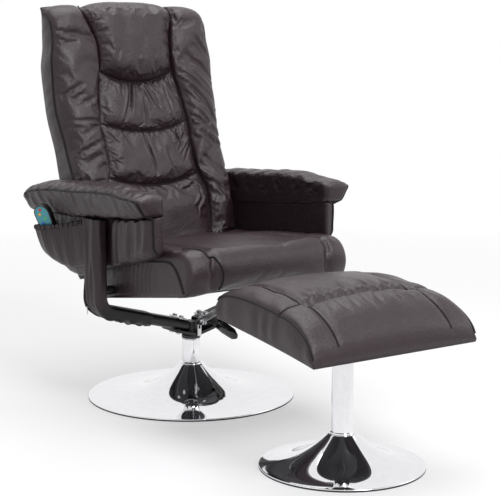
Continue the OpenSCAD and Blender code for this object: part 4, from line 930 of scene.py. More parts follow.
def seat_ring(full, count):
    """The seat's outline at one place across it, as rows of (y, z) with even spaces."""
    front = -SEAT_REACH + (1 - full) * 12
    rise = math.tan(math.radians(SEAT_SLOPE))
    low_front = SEAT_LOW_Z + rise * (4 - front - SEAT_NOSE) - 1
    top_front, top_rear = SEAT_TOP_FRONT - (1 - full) * 10, SEAT_TOP_REAR - (1 - full) * 5
    rear = BACK_HINGE[1] - BACK_FRONT - 2
    a = np.radians(np.linspace(-90, 90, 41))
    nose = np.c_[front + SEAT_NOSE * (1 - np.cos(a)),
                 (low_front + top_front) / 2 + (top_front - low_front) / 2 * np.sin(a)]
    t = np.linspace(0, 1, 40)
    crown = np.c_[lerp(front + SEAT_NOSE, rear - 8, t),
                  lerp(top_front, top_rear, t) + SEAT_CROWN * full * 4 * t * (1 - t)]
    a = np.radians(np.linspace(90, 20, 6))
    corner = np.c_[rear - 8 + 12 * np.cos(a), top_rear - 10 + 10 * np.sin(a)]
    rows = np.concatenate([[(rear, SEAT_LOW_Z - rise * (rear - 4))], [(4, SEAT_LOW_Z)], nose, crown[1:],
                           corner[1:], [(rear, 380)]])
    rows = np.concatenate([rows, rows[:1]])
    long = np.r_[0, np.cumsum(np.linalg.norm(np.diff(rows, axis=0), axis=1))]
    at = np.arange(count) / count * long[-1]
    return np.c_[np.interp(at, long, rows[:, 0]), np.interp(at, long, rows[:, 1])]


# The piping along a side of the seat: distance from the middle, place from front to rear, and height
SEAT_EDGE = [(250, 60, 404), (250, -40, 408), (250, -120, 412), (250, -165, 415), (250, -266, 428),
             (250, -300, 424), (250, -325, 402), (250, -342, 374), (250, -356, 348)]
# The short seam over the seat's front corner
SEAT_SEAM = [(-215, -300, 470), (-196, -345, 466), (-177, -375, 455), (-158, -386, 425), (-152, -386, 400),
             (-155, -372, 363)]
# Folds of the seat: across it, and from front to rear over the top
SEAT_MARKS = [(-232, -300, -214, -200, 8, 1.6, 3), (232, -300, 210, -230, 8, 1.6, -3),
              (-90, 60, -60, -20, 14, 1.8, 4), (30, 70, 44, -10, 14, 1.8, -4),
              (130, 60, 120, -30, 12, 1.6, 2), (-180, 40, -160, -60, 12, 1.6, 2)]


def seat_shape(u, v):
    """The cushion: its outline from side to side, drawn in at both sides, with folds on top."""
    x = lerp(-SEAT_HALF + 1.5, SEAT_HALF - 1.5, v)
    side = np.abs(2 * v[:, 0] - 1)
    full = arch((1 - side) / 0.28) - 0.5 * bump(side, 0.72, 0.05)
    points = np.empty(u.shape + (3,))
    for row in range(u.shape[0]):
        ring = seat_ring(full[row], u.shape[1])
        points[row, :, 1:] = ring
        points[row, :, 0] = x[row, 0]
    y, z = points[..., 1], points[..., 2]
    top = ease((z - 395) / 40)
    folds = strokes(points[..., 0], y, SEAT_MARKS) + ripples(points[..., 0], y, 5, 130, 0.9)
    points[..., 2] += folds * top * both_ends(v, 0.03)
    return points


def seat_sewn(u, v):
    """The cushion is held underneath, where its board is, and at both sides."""
    under = np.where((u < 0.33) | (u > 0.955), 1.0, 0.0)
    return np.maximum(under * clip(u / 0.02), 1 - both_ends(v, 0.07)) * 0.999 + 0.001


def seat_side(side, seed):
    """The boxing at a side of the seat, with upright wrinkles."""
    def shape(u, v):
        ring = seat_ring(0.0, 400)
        y = lerp(-SEAT_REACH + 14, BACK_HINGE[1] - BACK_FRONT - 4, u)
        low, high = [], []
        for at in y.reshape(-1):
            near = ring[np.abs(ring[:, 0] - at) < 4]
            low.append(near[:, 1].min())
            high.append(near[:, 1].max())
        low, high = np.array(low).reshape(y.shape), np.array(high).reshape(y.shape)
        z = lerp(low + 1.5, high - 1.5, v)
        rim = both_ends(u, 0.04) * both_ends(v, 0.12)
        x = SEAT_HALF - 5 + 6 * rim
        wrinkles = strokes(y, z, gathers(seed, 16, 190, lambda a: 452.0, 95, lambda a: 0.12, 6, 0.9)
                           + [(at, 412, at + 6, 340, 5, -3.2, 2) for at in (-196, -176, -155, -133, -112)])
        return flipped(xyz(x + np.clip(wrinkles, -3, 3) * rim, y, z), side)
    return shape


# Back
def panel_place(u, v, low, high, low_sag, high_sag, headrest):
    """Across and height of a panel's places in the back's frame, between two sagging seams."""
    bow = 1 - (2 * u - 1) ** 2
    dome = 20 * np.abs(2 * u - 1) ** 3 if headrest else 0
    z = lerp((low - low_sag * bow) * BACK_L + GAP, (high - high_sag * bow) * BACK_L - GAP - dome, v)
    corner = lerp(0.93, 1, arch((1 - v) / 0.14)) if headrest else 1.0
    return (2 * u - 1) * (panel_half(z) - GAP) * corner, z


def panel_shape(ends, crown, marks, seed):
    """The front of one of the back's panels. ends says where they are, as in PANELS."""
    def shape(u, v):
        x, z = panel_place(u, v, *ends)
        puff = both_ends(u, 0.2) * both_ends(v, 0.25)
        y = padding_front(z) + SEAM_DEEP * (1 - puff) - crown * puff * swell(z)
        folds = strokes(x, z, marks) + ripples(x, z, seed, 70, 0.8)
        y = y - folds * np.minimum(1, 3.0 * arch(v / 0.1) * arch((1 - v) / 0.06) * both_ends(u, 0.05))
        if ends[-1]:
            y = y + HEAD_DEPTH * (1 - arch((1 - v) / 0.27))
        return of_back(xyz(x, np.minimum(y, -BACK_PAD - 1), z))
    return shape


def panel_rim(ends, u, v):
    """The flat rear of a panel."""
    x, z = panel_place(u, v, *ends)
    return of_back(xyz(x, -BACK_PAD, z))


# The padding's lower end, which has turned this far round the hinge, as a share of the back's length
LOW_TURN = 61
LOW_END = -BACK_FRONT * math.sin(math.radians(LOW_TURN)) / BACK_L
# Folds of the back's panels, seen from the front: valleys are negative
UPPER_MARKS = [(-29, 505, -72, 385, 5, -5, 6), (-18, 495, -43, 397, 5, 4, 0), (32, 476, 52, 412, 5, -4, 0),
               (13, 505, 40, 417, 5, 3.5, 0), (74, 495, 88, 407, 4, -2.5, 0),
               (93, 495, 116, 446, 4.5, -4.5, 0), (102, 533, 121, 480, 4, -4, 0),
               (-59, 515, -65, 456, 4, -3, 0), (2, 456, 4, 378, 4, -2.5, 0),
               (-93, 505, -101, 476, 4, -1.5, 0)] + gathers(
                   3, 22, 124, lambda x: 500 + 32 * (x / 130) ** 2, 30, lambda x: 0.12 * x / 126, 3.6, -2.6)
LOWER_MARKS = [(-16, 366, -4, 266, 5, -3.5, 0), (-8, 308, 3, 232, 5, -3, 0), (85, 366, 92, 313, 5, -4.5, 0),
               (95, 350, 98, 305, 5, 4, 0), (120, 346, 93, 299, 5, -4, 0), (150, 332, 97, 256, 5, -4, 0),
               (132, 332, 88, 285, 5, 4, 0), (48, 303, 65, 222, 5, -3.5, 0), (38, 366, 45, 345, 4, -2, 0),
               (-133, 360, -108, 333, 4, -2, 0)] + gathers(
                   7, 16, 130, lambda x: 356 + 30 * (x / 135) ** 2, 24, lambda x: 0.1, 3.6, -1.8)
LUMBAR_MARKS = [(100, 218, 158, 195, 6, -5, 0), (-2, 205, 40, 180, 6, -2.5, 0), (128, 200, 70, 176, 6, -3, 3),
                (-134, 206, -96, 188, 6, -2.4, -3), (142, 160, 104, 120, 7, -2.6, 3),
                (-60, 196, -40, 150, 7, -1.8, 3)]
HEAD_MARKS = ([(-118, z, -92, z + 3, 5, -2.4, 1) for z in (566, 600, 636, 668)]
              + [(118, z, 92, z + 3, 5, -2.4, -1) for z in (566, 600, 636, 668)]
              + [(-70, 556, -60, 590, 7, -2, 2), (40, 552, 48, 585, 7, -1.8, -2),
                 (-8, 552, -2, 574, 6, -1.4, 0)])
# Points across and up a panel
PANEL_GRID = (165, 135)
# Node: where its ends are (low and high shares, their sags, is it the headrest), its crown and its marks
PANELS = {
    "lumbar_pad": ((LOW_END, 0.31, 0, 0.04, False), 4, LUMBAR_MARKS),
    "lower_back_panel": ((0.31, 0.517, 0.04, 0.04, False), 3, LOWER_MARKS),
    "upper_back_panel": ((0.517, 0.715, 0.04, 0.045, False), 3, UPPER_MARKS),
    "headrest_pad": ((0.715, 1, 0.045, 0, True), 20, HEAD_MARKS),
}
# Folds of the bolsters: distance from the middle, and height
RIGHT_BOLSTER_MARKS = [(198, 624, 250, 560, 6, -4.5, 3), (174, 565, 252, 496, 6, -4.5, 3),
                       (150, 515, 250, 416, 6, -4.5, 4), (165, 471, 245, 350, 6, -4.5, 4),
                       (153, 392, 240, 315, 6, -4.5, 3), (160, 348, 215, 300, 6, -4, 2),
                       (168, 536, 244, 452, 6, 3, 3), (158, 430, 238, 332, 6, 3, 3),
                       (168, 270, 214, 214, 7, -3, 3), (168, 200, 212, 150, 7, -2.6, 3)]
LEFT_BOLSTER_MARKS = [(144, 387, 217, 390, 5, -6, 0), (190, 378, 239, 395, 5, -3, 0),
                      (160, 372, 217, 345, 7, -3, 0), (146, 335, 225, 298, 7, -3.5, 0),
                      (193, 490, 244, 465, 7, -3, 0), (156, 455, 208, 430, 7, -2.5, 0),
                      (164, 290, 214, 262, 8, -2.4, 3), (170, 220, 214, 200, 8, -2.2, 3),
                      (140, 620, 236, 640, 9, -1.8, 3)]
# Where a bolster's piping is, as a share of the way across it, and its boxing starts
WALL_FROM = 0.74


def bolster_shape(side, marks, seed):
    """A bolster's front up to WALL_FROM across, and then its boxing back to the rear edge."""
    def shape(u, v):
        wall = clip((u - WALL_FROM) / (1 - WALL_FROM))
        u = clip(u / WALL_FROM)
        z = lerp(LOW_END * BACK_L, BOLSTER_TOP - BOLSTER_DROP * u ** 3, v)
        x = lerp(panel_half(z) + GAP, outer_edge(z) - 6 * clip((v - 0.97) / 0.03), u)
        puff = arch(u / 0.33) * arch((1 - v) / 0.07)
        outer = 1 - arch((1 - u) / 0.55)
        front = padding_front(z) + SEAM_DEEP * (1 - puff) - 16 * puff * swell(z)
        folds = strokes(x, z, marks) + ripples(x, z, seed, 80, 1.0)
        front = front - folds * np.minimum(1, 2 * both_ends(u, 0.12)) * arch((1 - v) / 0.05)
        front = lerp(front, piping_y(z), outer)
        front = np.minimum(front + HEAD_DEPTH * (1 - arch((1 - v) / 0.08)), -BACK_PAD - 1)
        y = lerp(front, rear_y(z), wall)
        pucker = 0.9 * np.sin(z / 8 + 2 * np.sin(z / 37)) * (wall > 0)
        x = x + (3.0 * np.where(z > 330, 1, 0.2) + pucker) * np.sin(math.pi * wall) * (z > HINGE_ZONE)
        x = np.where(z < 330, np.minimum(x, BACK_HALF + 1), x)
        return flipped(of_back(xyz(x, y, z)), side)
    return shape


def build_bolster(side, marks):
    """One side bolster with its boxing and piping."""
    label = "left" if side < 0 else "right"
    shape = bolster_shape(side, marks, 40 + side)
    sheet = leather_sheet(shape, 84, 260, bolster_sewn, grow=0.025, pressure=1.2 * side, cap=5, coarse=3)
    u, v = grid(84, 260)
    flat = shape(u, v)
    across = clip(u / WALL_FROM)
    z = lerp(LOW_END * BACK_L, BOLSTER_TOP - BOLSTER_DROP * across ** 3, v)
    behind = flipped(of_back(xyz(lerp(panel_half(z) + GAP, outer_edge(z), across), -BACK_PAD, z)), side)
    rim = np.where((u > WALL_FROM)[..., None], flat, behind)
    made = pad(f"bolster_leather_{label}", sheet, rim, finish("brown_leather"))
    leather_piece(f"back_bolster_{label}", "back", made)
    line = on_surface(made, shape(np.full(150, WALL_FROM), np.linspace(0.07, 0.985, 150)), 0.8)
    piping(f"bolster_piping_{label}", [line], "back", "brown_leather", 0.003)
    return made


def bolster_sewn(u, v):
    """A bolster is held at its rim, along the piping and over its boxing."""
    rim = hold_rim(0.1, high=0.6)(clip(u / WALL_FROM), v)
    return np.maximum(rim, clip((u - WALL_FROM + 0.03) / 0.03))


# Footstool

# The footstool's sheet goes over its top and down both sides and the rear, each by a share of its top
SIDE_TURN = 0.13
REAR_TURN = 0.12
# Where its cross channel and its two lengthwise seams lie, as shares of the top
CHANNEL = 0.38
LONG_SEAMS = (0.15, 0.85)


def stool_places(u, v):
    """Places on the footstool's top. Past 0 or 1 they are on its sides or its rear."""
    return lerp(-SIDE_TURN, 1 + SIDE_TURN, u), lerp(0, 1 + REAR_TURN, v)


def stool_plan(p, q):
    """Across and along the top, in millimetres. It is a little wider in front."""
    return (p - 0.5) * (STOOL_W + 26 * (1 - q) ** 3), (q - 0.5) * STOOL_L


def stool_shape(u, v):
    """The footstool's leather: a rounded front, a crown, the channel, the seams and their gathers."""
    a, b = stool_places(u, v)
    p, q = clip(a), clip(b)
    wall = np.maximum.reduce([-a / SIDE_TURN, (a - 1) / SIDE_TURN, (b - 1) / REAR_TURN, np.zeros_like(a)])
    x, y = stool_plan(p, q)
    rise = arch((y + STOOL_L / 2) / 135) * lerp(0.58, 1, arch((STOOL_L / 2 - y) / 170))
    shoulder = arch(p * STOOL_W / 26) * arch((1 - p) * STOOL_W / 26)
    crown = lerp(0.8, 1, 1 - (2 * p - 1) ** 2)
    full = STOOL_H * crown * rise * lerp(0.86, 1, shoulder)
    inner = ease((p - 0.12) / 0.06) * ease((0.88 - p) / 0.06)
    channel = 20 * bump(q, CHANNEL, 0.034) * inner + 4 * bump(q, CHANNEL, 0.014) * (1 - inner)
    seams = 7 * sum(bump(p, at, 0.022) for at in LONG_SEAMS) * rise
    folds = strokes(x, y, STOOL_MARKS) * inner * (1 - bump(q, CHANNEL, 0.03)) + ripples(x, y, 9, 90, 1.1)
    z = np.maximum(full - channel - seams + folds * rise * shoulder, 12 + 0 * x)
    lift = 8 * bump(q, 0, 0.06) * (1 - np.abs(2 * p - 1) ** 4)
    z = z + lift
    out = 4 * np.sin(math.pi * clip(wall))
    wrinkle = 1.2 * np.sin(y / 9 + 2 * np.sin(y / 31)) * np.sin(math.pi * clip(wall)) * (a != p)
    x = x + np.sign(p - 0.5) * (out + wrinkle) * (a != p)
    y = y + out * (b != q)
    return of_stool(xyz(x, y, z * (1 - clip(wall))))


STOOL_MARKS = (
    [(x, -50, x + d, -50 + e, 5.5, h, 3) for x, d, e, h in
     ((-124, -12, 56, -5), (-104, 4, 70, 4), (-86, 6, 78, -5.5), (-60, -8, 62, -4.5), (-40, 2, 50, 3.6),
      (-26, 8, 84, -5.5), (0, -8, 66, -4.5), (22, 4, 58, 3.6), (38, 10, 80, -5.5), (66, 4, 62, -4.5),
      (84, 4, 50, 3.6), (100, 12, 74, -5.5), (124, 6, 52, -4))]
    + [(x, -68, x + d, -68 - e, 5.5, h, -3) for x, d, e, h in
       ((-118, -4, 44, -4.4), (-92, 6, 56, -5), (-70, 2, 40, 3.4), (-52, -8, 50, -4.6), (-22, 6, 62, -5),
        (2, -2, 40, 3.4), (18, -8, 48, -4.6), (48, 8, 60, -5), (78, -4, 46, -4.6), (96, 2, 36, 3.2),
        (114, 6, 42, -4.2))])


def stool_sewn(u, v):
    """The footstool's leather is held at its rim, on its sides, along its seams and in its channel."""
    a, b = stool_places(u, v)
    p, q = clip(a), clip(b)
    wall = (a != p) | (b != q)
    seams = np.maximum(*(bump(p, at, 0.02) for at in LONG_SEAMS))
    channel = bump(q, CHANNEL, 0.03) * (p > 0.13) * (p < 0.87)
    return np.clip(np.maximum.reduce([wall, seams, channel, 1 - clip(b / 0.06), 1 - clip((1.0 - q) / 0.03),
                                      1 - clip(p / 0.03), 1 - clip((1 - p) / 0.03)]), 0, 1)


# Sleeves and pocket

# A sleeve's middle from front to rear, half its width and thickness, and its zip's place and distance out
SLEEVE_Y = 4
SLEEVE_HALF = 41
SLEEVE_THICK = 18
ZIP_Y = 30
ZIP_OUT = 20.5
# The frame bar's slope in degrees, its height at the hub's middle, its length up to the bend, how much of
# that the sleeve covers, and the sleeve's top
BAR_RISE = 15
BAR_HUB_Z = 192.52
BAR_RUN = 268.29
SLEEVE_RUN = 118
SLEEVE_TOP = 511


def sleeve_path(count):
    """Middle line of a sleeve, with the outward direction, as rows of (x, z) pairs."""
    rise = math.radians(BAR_RISE)
    slope = [(math.cos(rise) * s, BAR_HUB_Z + math.sin(rise) * s, math.sin(rise), -math.cos(rise))
             for s in np.linspace(BAR_RUN - SLEEVE_RUN, BAR_RUN, 30)]
    x, z, r = BEND
    bend = [(x + r * math.cos(a), z + r * math.sin(a), math.cos(a), math.sin(a))
            for a in np.radians(np.linspace(BAR_RISE - 90, 0, 22))[1:-1]]
    upright = [(x + r, b, 1.0, 0.0) for b in np.linspace(z, SLEEVE_TOP, 46)]
    rows = np.array(slope + bend + upright)
    long = np.r_[0, np.cumsum(np.hypot(*np.diff(rows[:, :2], axis=0).T))]
    at = np.linspace(0, long[-1], count)
    return np.stack([np.interp(at, long, rows[:, k]) for k in range(4)], 1), at


def sleeve_rings(side, seed, grow=0.0, folded=True):
    """Rings of points along a sleeve, with its baggy folds on the outside."""
    path, at = sleeve_path(150)
    t = np.linspace(0, math.tau, 120, endpoint=False)
    flat = np.abs(np.cos(t)) ** 0.35 * np.sign(np.cos(t))
    rings = np.empty((len(path), len(t), 3))
    outside = clip(np.cos(t) * 3 + 0.2)
    for j, (x, z, nx, nz) in enumerate(path):
        b = SLEEVE_HALF * np.sin(t)
        fold = 0.0
        if folded:
            along = at[j]
            fold = (3.4 * np.sin(b / 6.2 + 1.3 * math.sin(along / 75 + seed) + seed)
                    + 1.9 * np.sin(b / 3.4 - along / 80 + 1.5 * seed)
                    + 2.0 * np.sin(b / 11 + along / 30 + seed)) * outside
            slack = bump(along, 60, 80)
            fold = fold + outside * slack * 2.6 * np.sin(along / 6.0 + 1.2 * np.sin(b / 14) + seed)
        a = SLEEVE_THICK * flat + fold + grow * flat
        rings[j] = np.stack([side * (x + nx * a), SLEEVE_Y + b + grow * np.sin(t), z + nz * a], -1)
    return rings


def open_tube(name, outer, inner, finish):
    """A thin wall round a tube, open at both ends."""
    rows, columns = outer.shape[:2]
    count = rows * columns
    faces = quads(rows, columns, True)
    faces += [tuple(count + k for k in reversed(face)) for face in quads(rows, columns, True)]
    for j in (0, rows - 1):
        for i in range(columns):
            k = (i + 1) % columns
            faces.append((j * columns + i, j * columns + k, count + j * columns + k, count + j * columns + i))
    return face_out(new_object(name, np.concatenate([outer.reshape(-1, 3), inner.reshape(-1, 3)]), faces,
                               finish))


# The pocket's front and rear end, its top at the rear end, how far it starts above the arm's lower edge, how
# far its mouth stands out, and its flat side's distance from the middle
POCKET_FRONT = 49
POCKET_REAR = 288
POCKET_TOP = 464
POCKET_UP = 22
POCKET_STAND = 67
POCKET_OUT = 274.8


def pocket_grid(inset, across=150, up=34):
    """The pocket's cloth, which stands away from the arm towards its gathered mouth."""
    u, v = grid(across, up)
    y = lerp(POCKET_FRONT, POCKET_REAR, u)
    top = POCKET_TOP + 40 * (1 - u) ** 2
    low = arm_bottom((y + ARM_FRONT) / ARM_L) + POCKET_UP
    mouth = np.interp(u, [0, 0.25, 0.5, 0.72, 0.84, 0.95, 1], [0, 0.28, 0.66, 0.98, 0.98, 0.55, 0])
    drift = 0.5 * np.sin(math.tau * 1.7 * u + 0.6) + 0.25 * np.sin(math.tau * 4.3 * u)
    folds = (2.0 * np.sin(math.tau * 6 * u + drift)
             + 2.4 * np.abs(np.sin(math.tau * 9 * u + 3 * drift + 0.8 * v)) * v ** 1.5
             + 1.5 * np.sin(math.tau * 27 * u + 4 * drift) * v ** 2) * v ** 0.6 * np.sin(math.pi * u)
    stand = 2 + POCKET_STAND * v ** 0.3 * mouth + folds - inset
    stand = np.maximum(stand, 2 - inset)
    return xyz(-(POCKET_OUT + stand), y + inset * (1 - 2 * u), lerp(low + inset, top, v))


# Linings
# The rear cover's lower and upper end in the back's frame
COVER_LOW = -30
COVER_HIGH = 722


def rear_cover(inset, across=90, up=96):
    """The cloth over the back's rear: sides, rear and both ends, as one grid."""
    low, high = COVER_LOW + inset, COVER_HIGH - inset
    z = np.r_[low, np.linspace(low, high, up), high]
    t = np.linspace(-1, 1, across)
    rows = []
    for k, height in enumerate(z):
        deep = float(rear_y(np.float64(height))) + 0.4 - inset
        front = min(-7.7, deep - 3)
        half = float(outer_edge(np.float64(max(height, 70)))) - 2.2 - inset
        half = min(half, BACK_HALF - 1.8 - inset)
        corner = min(7.0, deep - front)
        side = clip((1 - np.abs(t)) / 0.12)
        x = np.sign(t) * np.where(np.abs(t) > 0.88, half, half * np.abs(t) / 0.88)
        y = lerp(front, deep, side)
        near = clip((np.abs(x) - half + corner) / corner)
        y = y - corner * (1 - np.sqrt(np.maximum(0, 1 - near ** 2))) * (side >= 1)
        sag = (-2.4 * np.sin(math.pi * clip((t + 1) / 2))
               * math.sin(math.pi * clip((height - COVER_LOW) / 620)) * (side >= 1))
        if k in (0, len(z) - 1):
            y, sag = np.full_like(t, front), 0
        rows.append(xyz(x, y + sag, height))
    return of_back(np.array(rows))


# Settings
class RECLINER_PG_leather(bpy.types.PropertyGroup):
    """Leather of the seat, back, arms and footstool"""
    colour: FloatVectorProperty(name="Colour", description="Colour of the leather", subtype="COLOR", size=3,
                                default=(0.0240, 0.0122, 0.0168), min=0, max=1)
    grain: FloatProperty(name="Grain", description="Pebbles of the grain to a metre", default=700, min=100,
                         max=3000)
    roughness: FloatProperty(name="Roughness", description="How matt the leather is", default=0.4, min=0,
                             max=1, subtype="FACTOR")
    piping: FloatProperty(name="Piping", description="Radius of the piping along the seams", default=0.0026,
                          min=0.0005, max=0.01, unit="LENGTH")


class RECLINER_PG_metal(bpy.types.PropertyGroup):
    """Chrome of the floor discs and columns"""
    chrome: FloatVectorProperty(name="Chrome", description="Colour of the chrome", subtype="COLOR", size=3,
                                default=(0.80, 0.80, 0.82), min=0, max=1)
    around: IntProperty(name="Steps round a disc", description="Faces round each floor disc", default=192,
                        min=24, max=512)
    zip_step: FloatProperty(name="Zip tooth", description="Distance between the teeth of the sleeves' zips",
                            default=0.0028, min=0.001, max=0.01, unit="LENGTH")


class RECLINER_PG_studio(bpy.types.PropertyGroup):
    """Floor, light and camera"""
    floor: FloatVectorProperty(name="Floor", description="Colour of the floor", subtype="COLOR", size=3,
                               default=(0.92, 0.92, 0.94), min=0, max=1)
    sky: FloatProperty(name="Sky", description="Strength of the light from all round", default=0.26, min=0,
                       max=2)
    key: FloatProperty(name="Key light", description="Power of the light in front and above", default=190,
                       min=0, unit="POWER")
    fill: FloatProperty(name="Fill light", description="Power of the light at the right", default=34, min=0,
                        unit="POWER")
    top: FloatProperty(name="Top light", description="Power of the light above", default=110, min=0,
                       unit="POWER")
    lens: FloatProperty(name="Lens", description="Focal length for a 36 mm wide sensor", default=99.09,
                        min=10, unit="CAMERA")


# Operators
class RECLINER_OT_stage(bpy.types.Operator):
    """Adds the floor, the lights, the sky and the camera"""
    bl_idname = "recliner.add_stage"
    bl_label = "Stage"

    def execute(self, context):
        studio = context.scene.recliner_studio
        context.scene.view_settings.view_transform = "Standard"
        add_camera(context, studio)
        add_lights(context, studio)
        add_floor(context, studio)
        return {"FINISHED"}


# Lamp: its place and its width in metres. Its power is the setting of that name
LAMPS = {"key": ((-0.3, -4.6, 4.3), 1.8), "fill": ((4.0, -2.6, 2.4), 2.6), "top": ((0.2, 0.4, 4.2), 3.0)}
LAMPS_LOOK_AT = Vector((-0.02, -0.3, 0.4))
CAMERA_AT = Vector((-2.0020, -3.1234, 0.9757))
CAMERA_LOOKS = Vector((0.5693, 0.8081, -0.1513))


def add_camera(context, studio):
    lens = bpy.data.cameras.new("camera")
    lens.lens = studio.lens
    lens.sensor_width = 36
    camera = linked("camera", lens)
    camera.location = CAMERA_AT
    camera.rotation_euler = CAMERA_LOOKS.to_track_quat("-Z", "Y").to_euler()
    context.scene.camera = camera


def add_lights(context, studio):
    for name, (place, size) in LAMPS.items():
        light = bpy.data.lights.new(name, "AREA")
        light.size = size
        light.energy = getattr(studio, name)
        lamp = linked(name, light)
        lamp.location = place
        lamp.rotation_euler = (LAMPS_LOOK_AT - Vector(place)).to_track_quat("-Z", "Y").to_euler()
    world = bpy.data.worlds.new("sky")
    context.scene.world = world
    world.use_nodes = True
    world.node_tree.nodes.clear()
    b = Tree(world.node_tree)
    seen = seen_rays(b)
    light = b.add("ShaderNodeBackground", {"Color": (1, 1, 1, 1), "Strength": studio.sky})
    white = b.add("ShaderNodeBackground", {"Color": (1, 1, 1, 1), "Strength": 1.0})
    mix = b.add("ShaderNodeMixShader", {0: seen, 1: light.outputs[0], 2: white.outputs[0]})
    b.add("ShaderNodeOutputWorld", {"Surface": mix.outputs[0]})


def seen_rays(b):
    """1 where a ray comes from the camera, a mirror or glass."""
    path = b.add("ShaderNodeLightPath").outputs
    return b.math("MINIMUM", b.plus(b.plus(path["Is Camera Ray"], path["Is Glossy Ray"]),
                                    path["Is Transmission Ray"]), 1.0)


def add_floor(context, studio):
    made = bpy.data.materials.new("floor")
    made.use_nodes = True
    made.node_tree.nodes.clear()
    b = Tree(made.node_tree)
    place = b.add("ShaderNodeTexCoord").outputs["Object"]
    away = b.add("ShaderNodeVectorMath", {0: place}, operation="LENGTH").outputs["Value"]
    far = b.add("ShaderNodeMapRange", {"Value": away, "From Min": 0.7, "From Max": 3.5, "To Min": 0.46})
    speck = b.add("ShaderNodeTexNoise", {"Vector": place, "Scale": 60.0, "Detail": 3.0}).outputs["Fac"]
    tint = b.mix(speck, rgb([c * 0.985 for c in studio.floor]),
                 rgb([min(1, c * 1.015) for c in studio.floor]))
    paint = b.add("ShaderNodeBsdfPrincipled", {"Base Color": tint, "Roughness": 0.6})
    white = b.add("ShaderNodeEmission", {"Color": (1, 1, 1, 1), "Strength": 1.0})
    fade = b.times(far.outputs[0], seen_rays(b))
    mix = b.add("ShaderNodeMixShader", {0: fade, 1: paint.outputs[0], 2: white.outputs[0]})
    b.add("ShaderNodeOutputMaterial", {"Surface": mix.outputs[0]})
    rows = np.array([(x, y, -0.2) for y in np.linspace(-9000, 9000, 13)
                     for x in np.linspace(-9000, 9000, 13)])
    floor = new_object("floor", rows, quads(13, 13), made)


# Node: the foot's name and body, its middle, its radius and height in metres, and how late it sweeps up
FEET = {
    "base_trumpet": ("chair_disc", "floor_base", (0, 0), 0.283, 0.090, 3.2),
    "stool_trumpet": ("stool_disc", "footstool", (-0.066, -0.743), 0.193, 0.078, 2.2),
}
# Both feet in metres: radius of the neck and of the hole for the column, height of the rim, and the wall
FOOT_NECK = 0.032
FOOT_BORE = 0.02505
FOOT_LOW = 0.004
FOOT_WALL = 0.002


class RECLINER_OT_feet(bpy.types.Operator):
    """Adds the two chrome floor discs that sweep up to their columns"""
    bl_idname = "recliner.add_feet"
    bl_label = "Floor discs"

    def execute(self, context):
        metal = context.scene.recliner_metal
        for node, (name, body, place, disc, high, power) in FEET.items():
            tree = bpy.data.node_groups.get("Trumpet") or trumpet_tree()
            seed = linked("seed", bpy.data.meshes.new("seed"))
            dish = worked(seed, tree, {
                "Disc Radius": disc, "Neck Radius": FOOT_NECK, "Column Radius": FOOT_BORE, "Low": FOOT_LOW,
                "High": high, "Power": power, "Wall": FOOT_WALL, "Around": metal.around, "Rows": 96,
                "Material": finish("chrome_plate")}, name)
            dish.data.transform(Matrix.Translation((*place, 0)))
            if sum(face.normal.z for face in dish.data.polygons) < 0:
                dish.data.flip_normals()
            wall = dish.modifiers.new("Wall", "SOLIDIFY")
            wall.thickness = FOOT_WALL
            wall.offset = -1
            placed(dish, "chrome_plate", body, node)
        return {"FINISHED"}


# Hard pieces whose edges are rounded off: node, body, bevel in metres
HARD = {
    "floor_base": {"base_gasket": 0.001, "column_tube": 0.0012, "column_ring": 0.0015, "swivel_bush": 0.001,
                   "swivel_spindle": 0.0008},
    "chair_frame": {"hub_socket": 0.0015, "hub_strap": 0.001, "hub_bolts": 0.0008, "brake_bracket": 0.001},
    "footstool": {"stool_gasket": 0.001, "stool_column": 0.0012, "stool_plate": 0.001},
    "brake_lever": {"lever_arm": 0.0012, "lever_grip": 0.004},
    "seat": {"brake_rod": 0.0008, "rod_bracket": 0.0008},
    "handset": {"handset_case": 0.0028, "handset_face": 0.0007},
    "power_button": {"power_button": 0.0008}, "mode_button": {"mode_button": 0.0008},
    "speed_button": {"speed_button": 0.0008}, "heat_button": {"heat_button": 0.0008},
    "zip_pull_left": {"zip_pull_left": 0.0004}, "zip_pull_right": {"zip_pull_right": 0.0004},
}


# Pieces painted or stained black over their own material
STAINED = {"seat_pivot_pins": "black_steel", "stool_board": "black_plastic", "stool_plate": "black_steel"}


class RECLINER_OT_hard(bpy.types.Operator):
    """Rounds the edges of the steel and plastic pieces, and gives every carried-over piece its finish"""
    bl_idname = "recliner.add_hard_pieces"
    bl_label = "Steel and plastic"

    def execute(self, context):
        slots = {row["node"]: row["material_slot"] for row in frame["record"]["subparts"]}
        for body, nodes in HARD.items():
            for node, bevel in nodes.items():
                polished(node, f"{node}_smooth", body, slots[node], bevel)
        for node, slot in slots.items():
            slot = STAINED.get(node, slot)
            obj = frame["nodes"][node]
            if not obj.material_slots:
                obj.data.materials.append(finish(slot))
            for place in obj.material_slots:
                place.material = finish(slot)
        return {"FINISHED"}


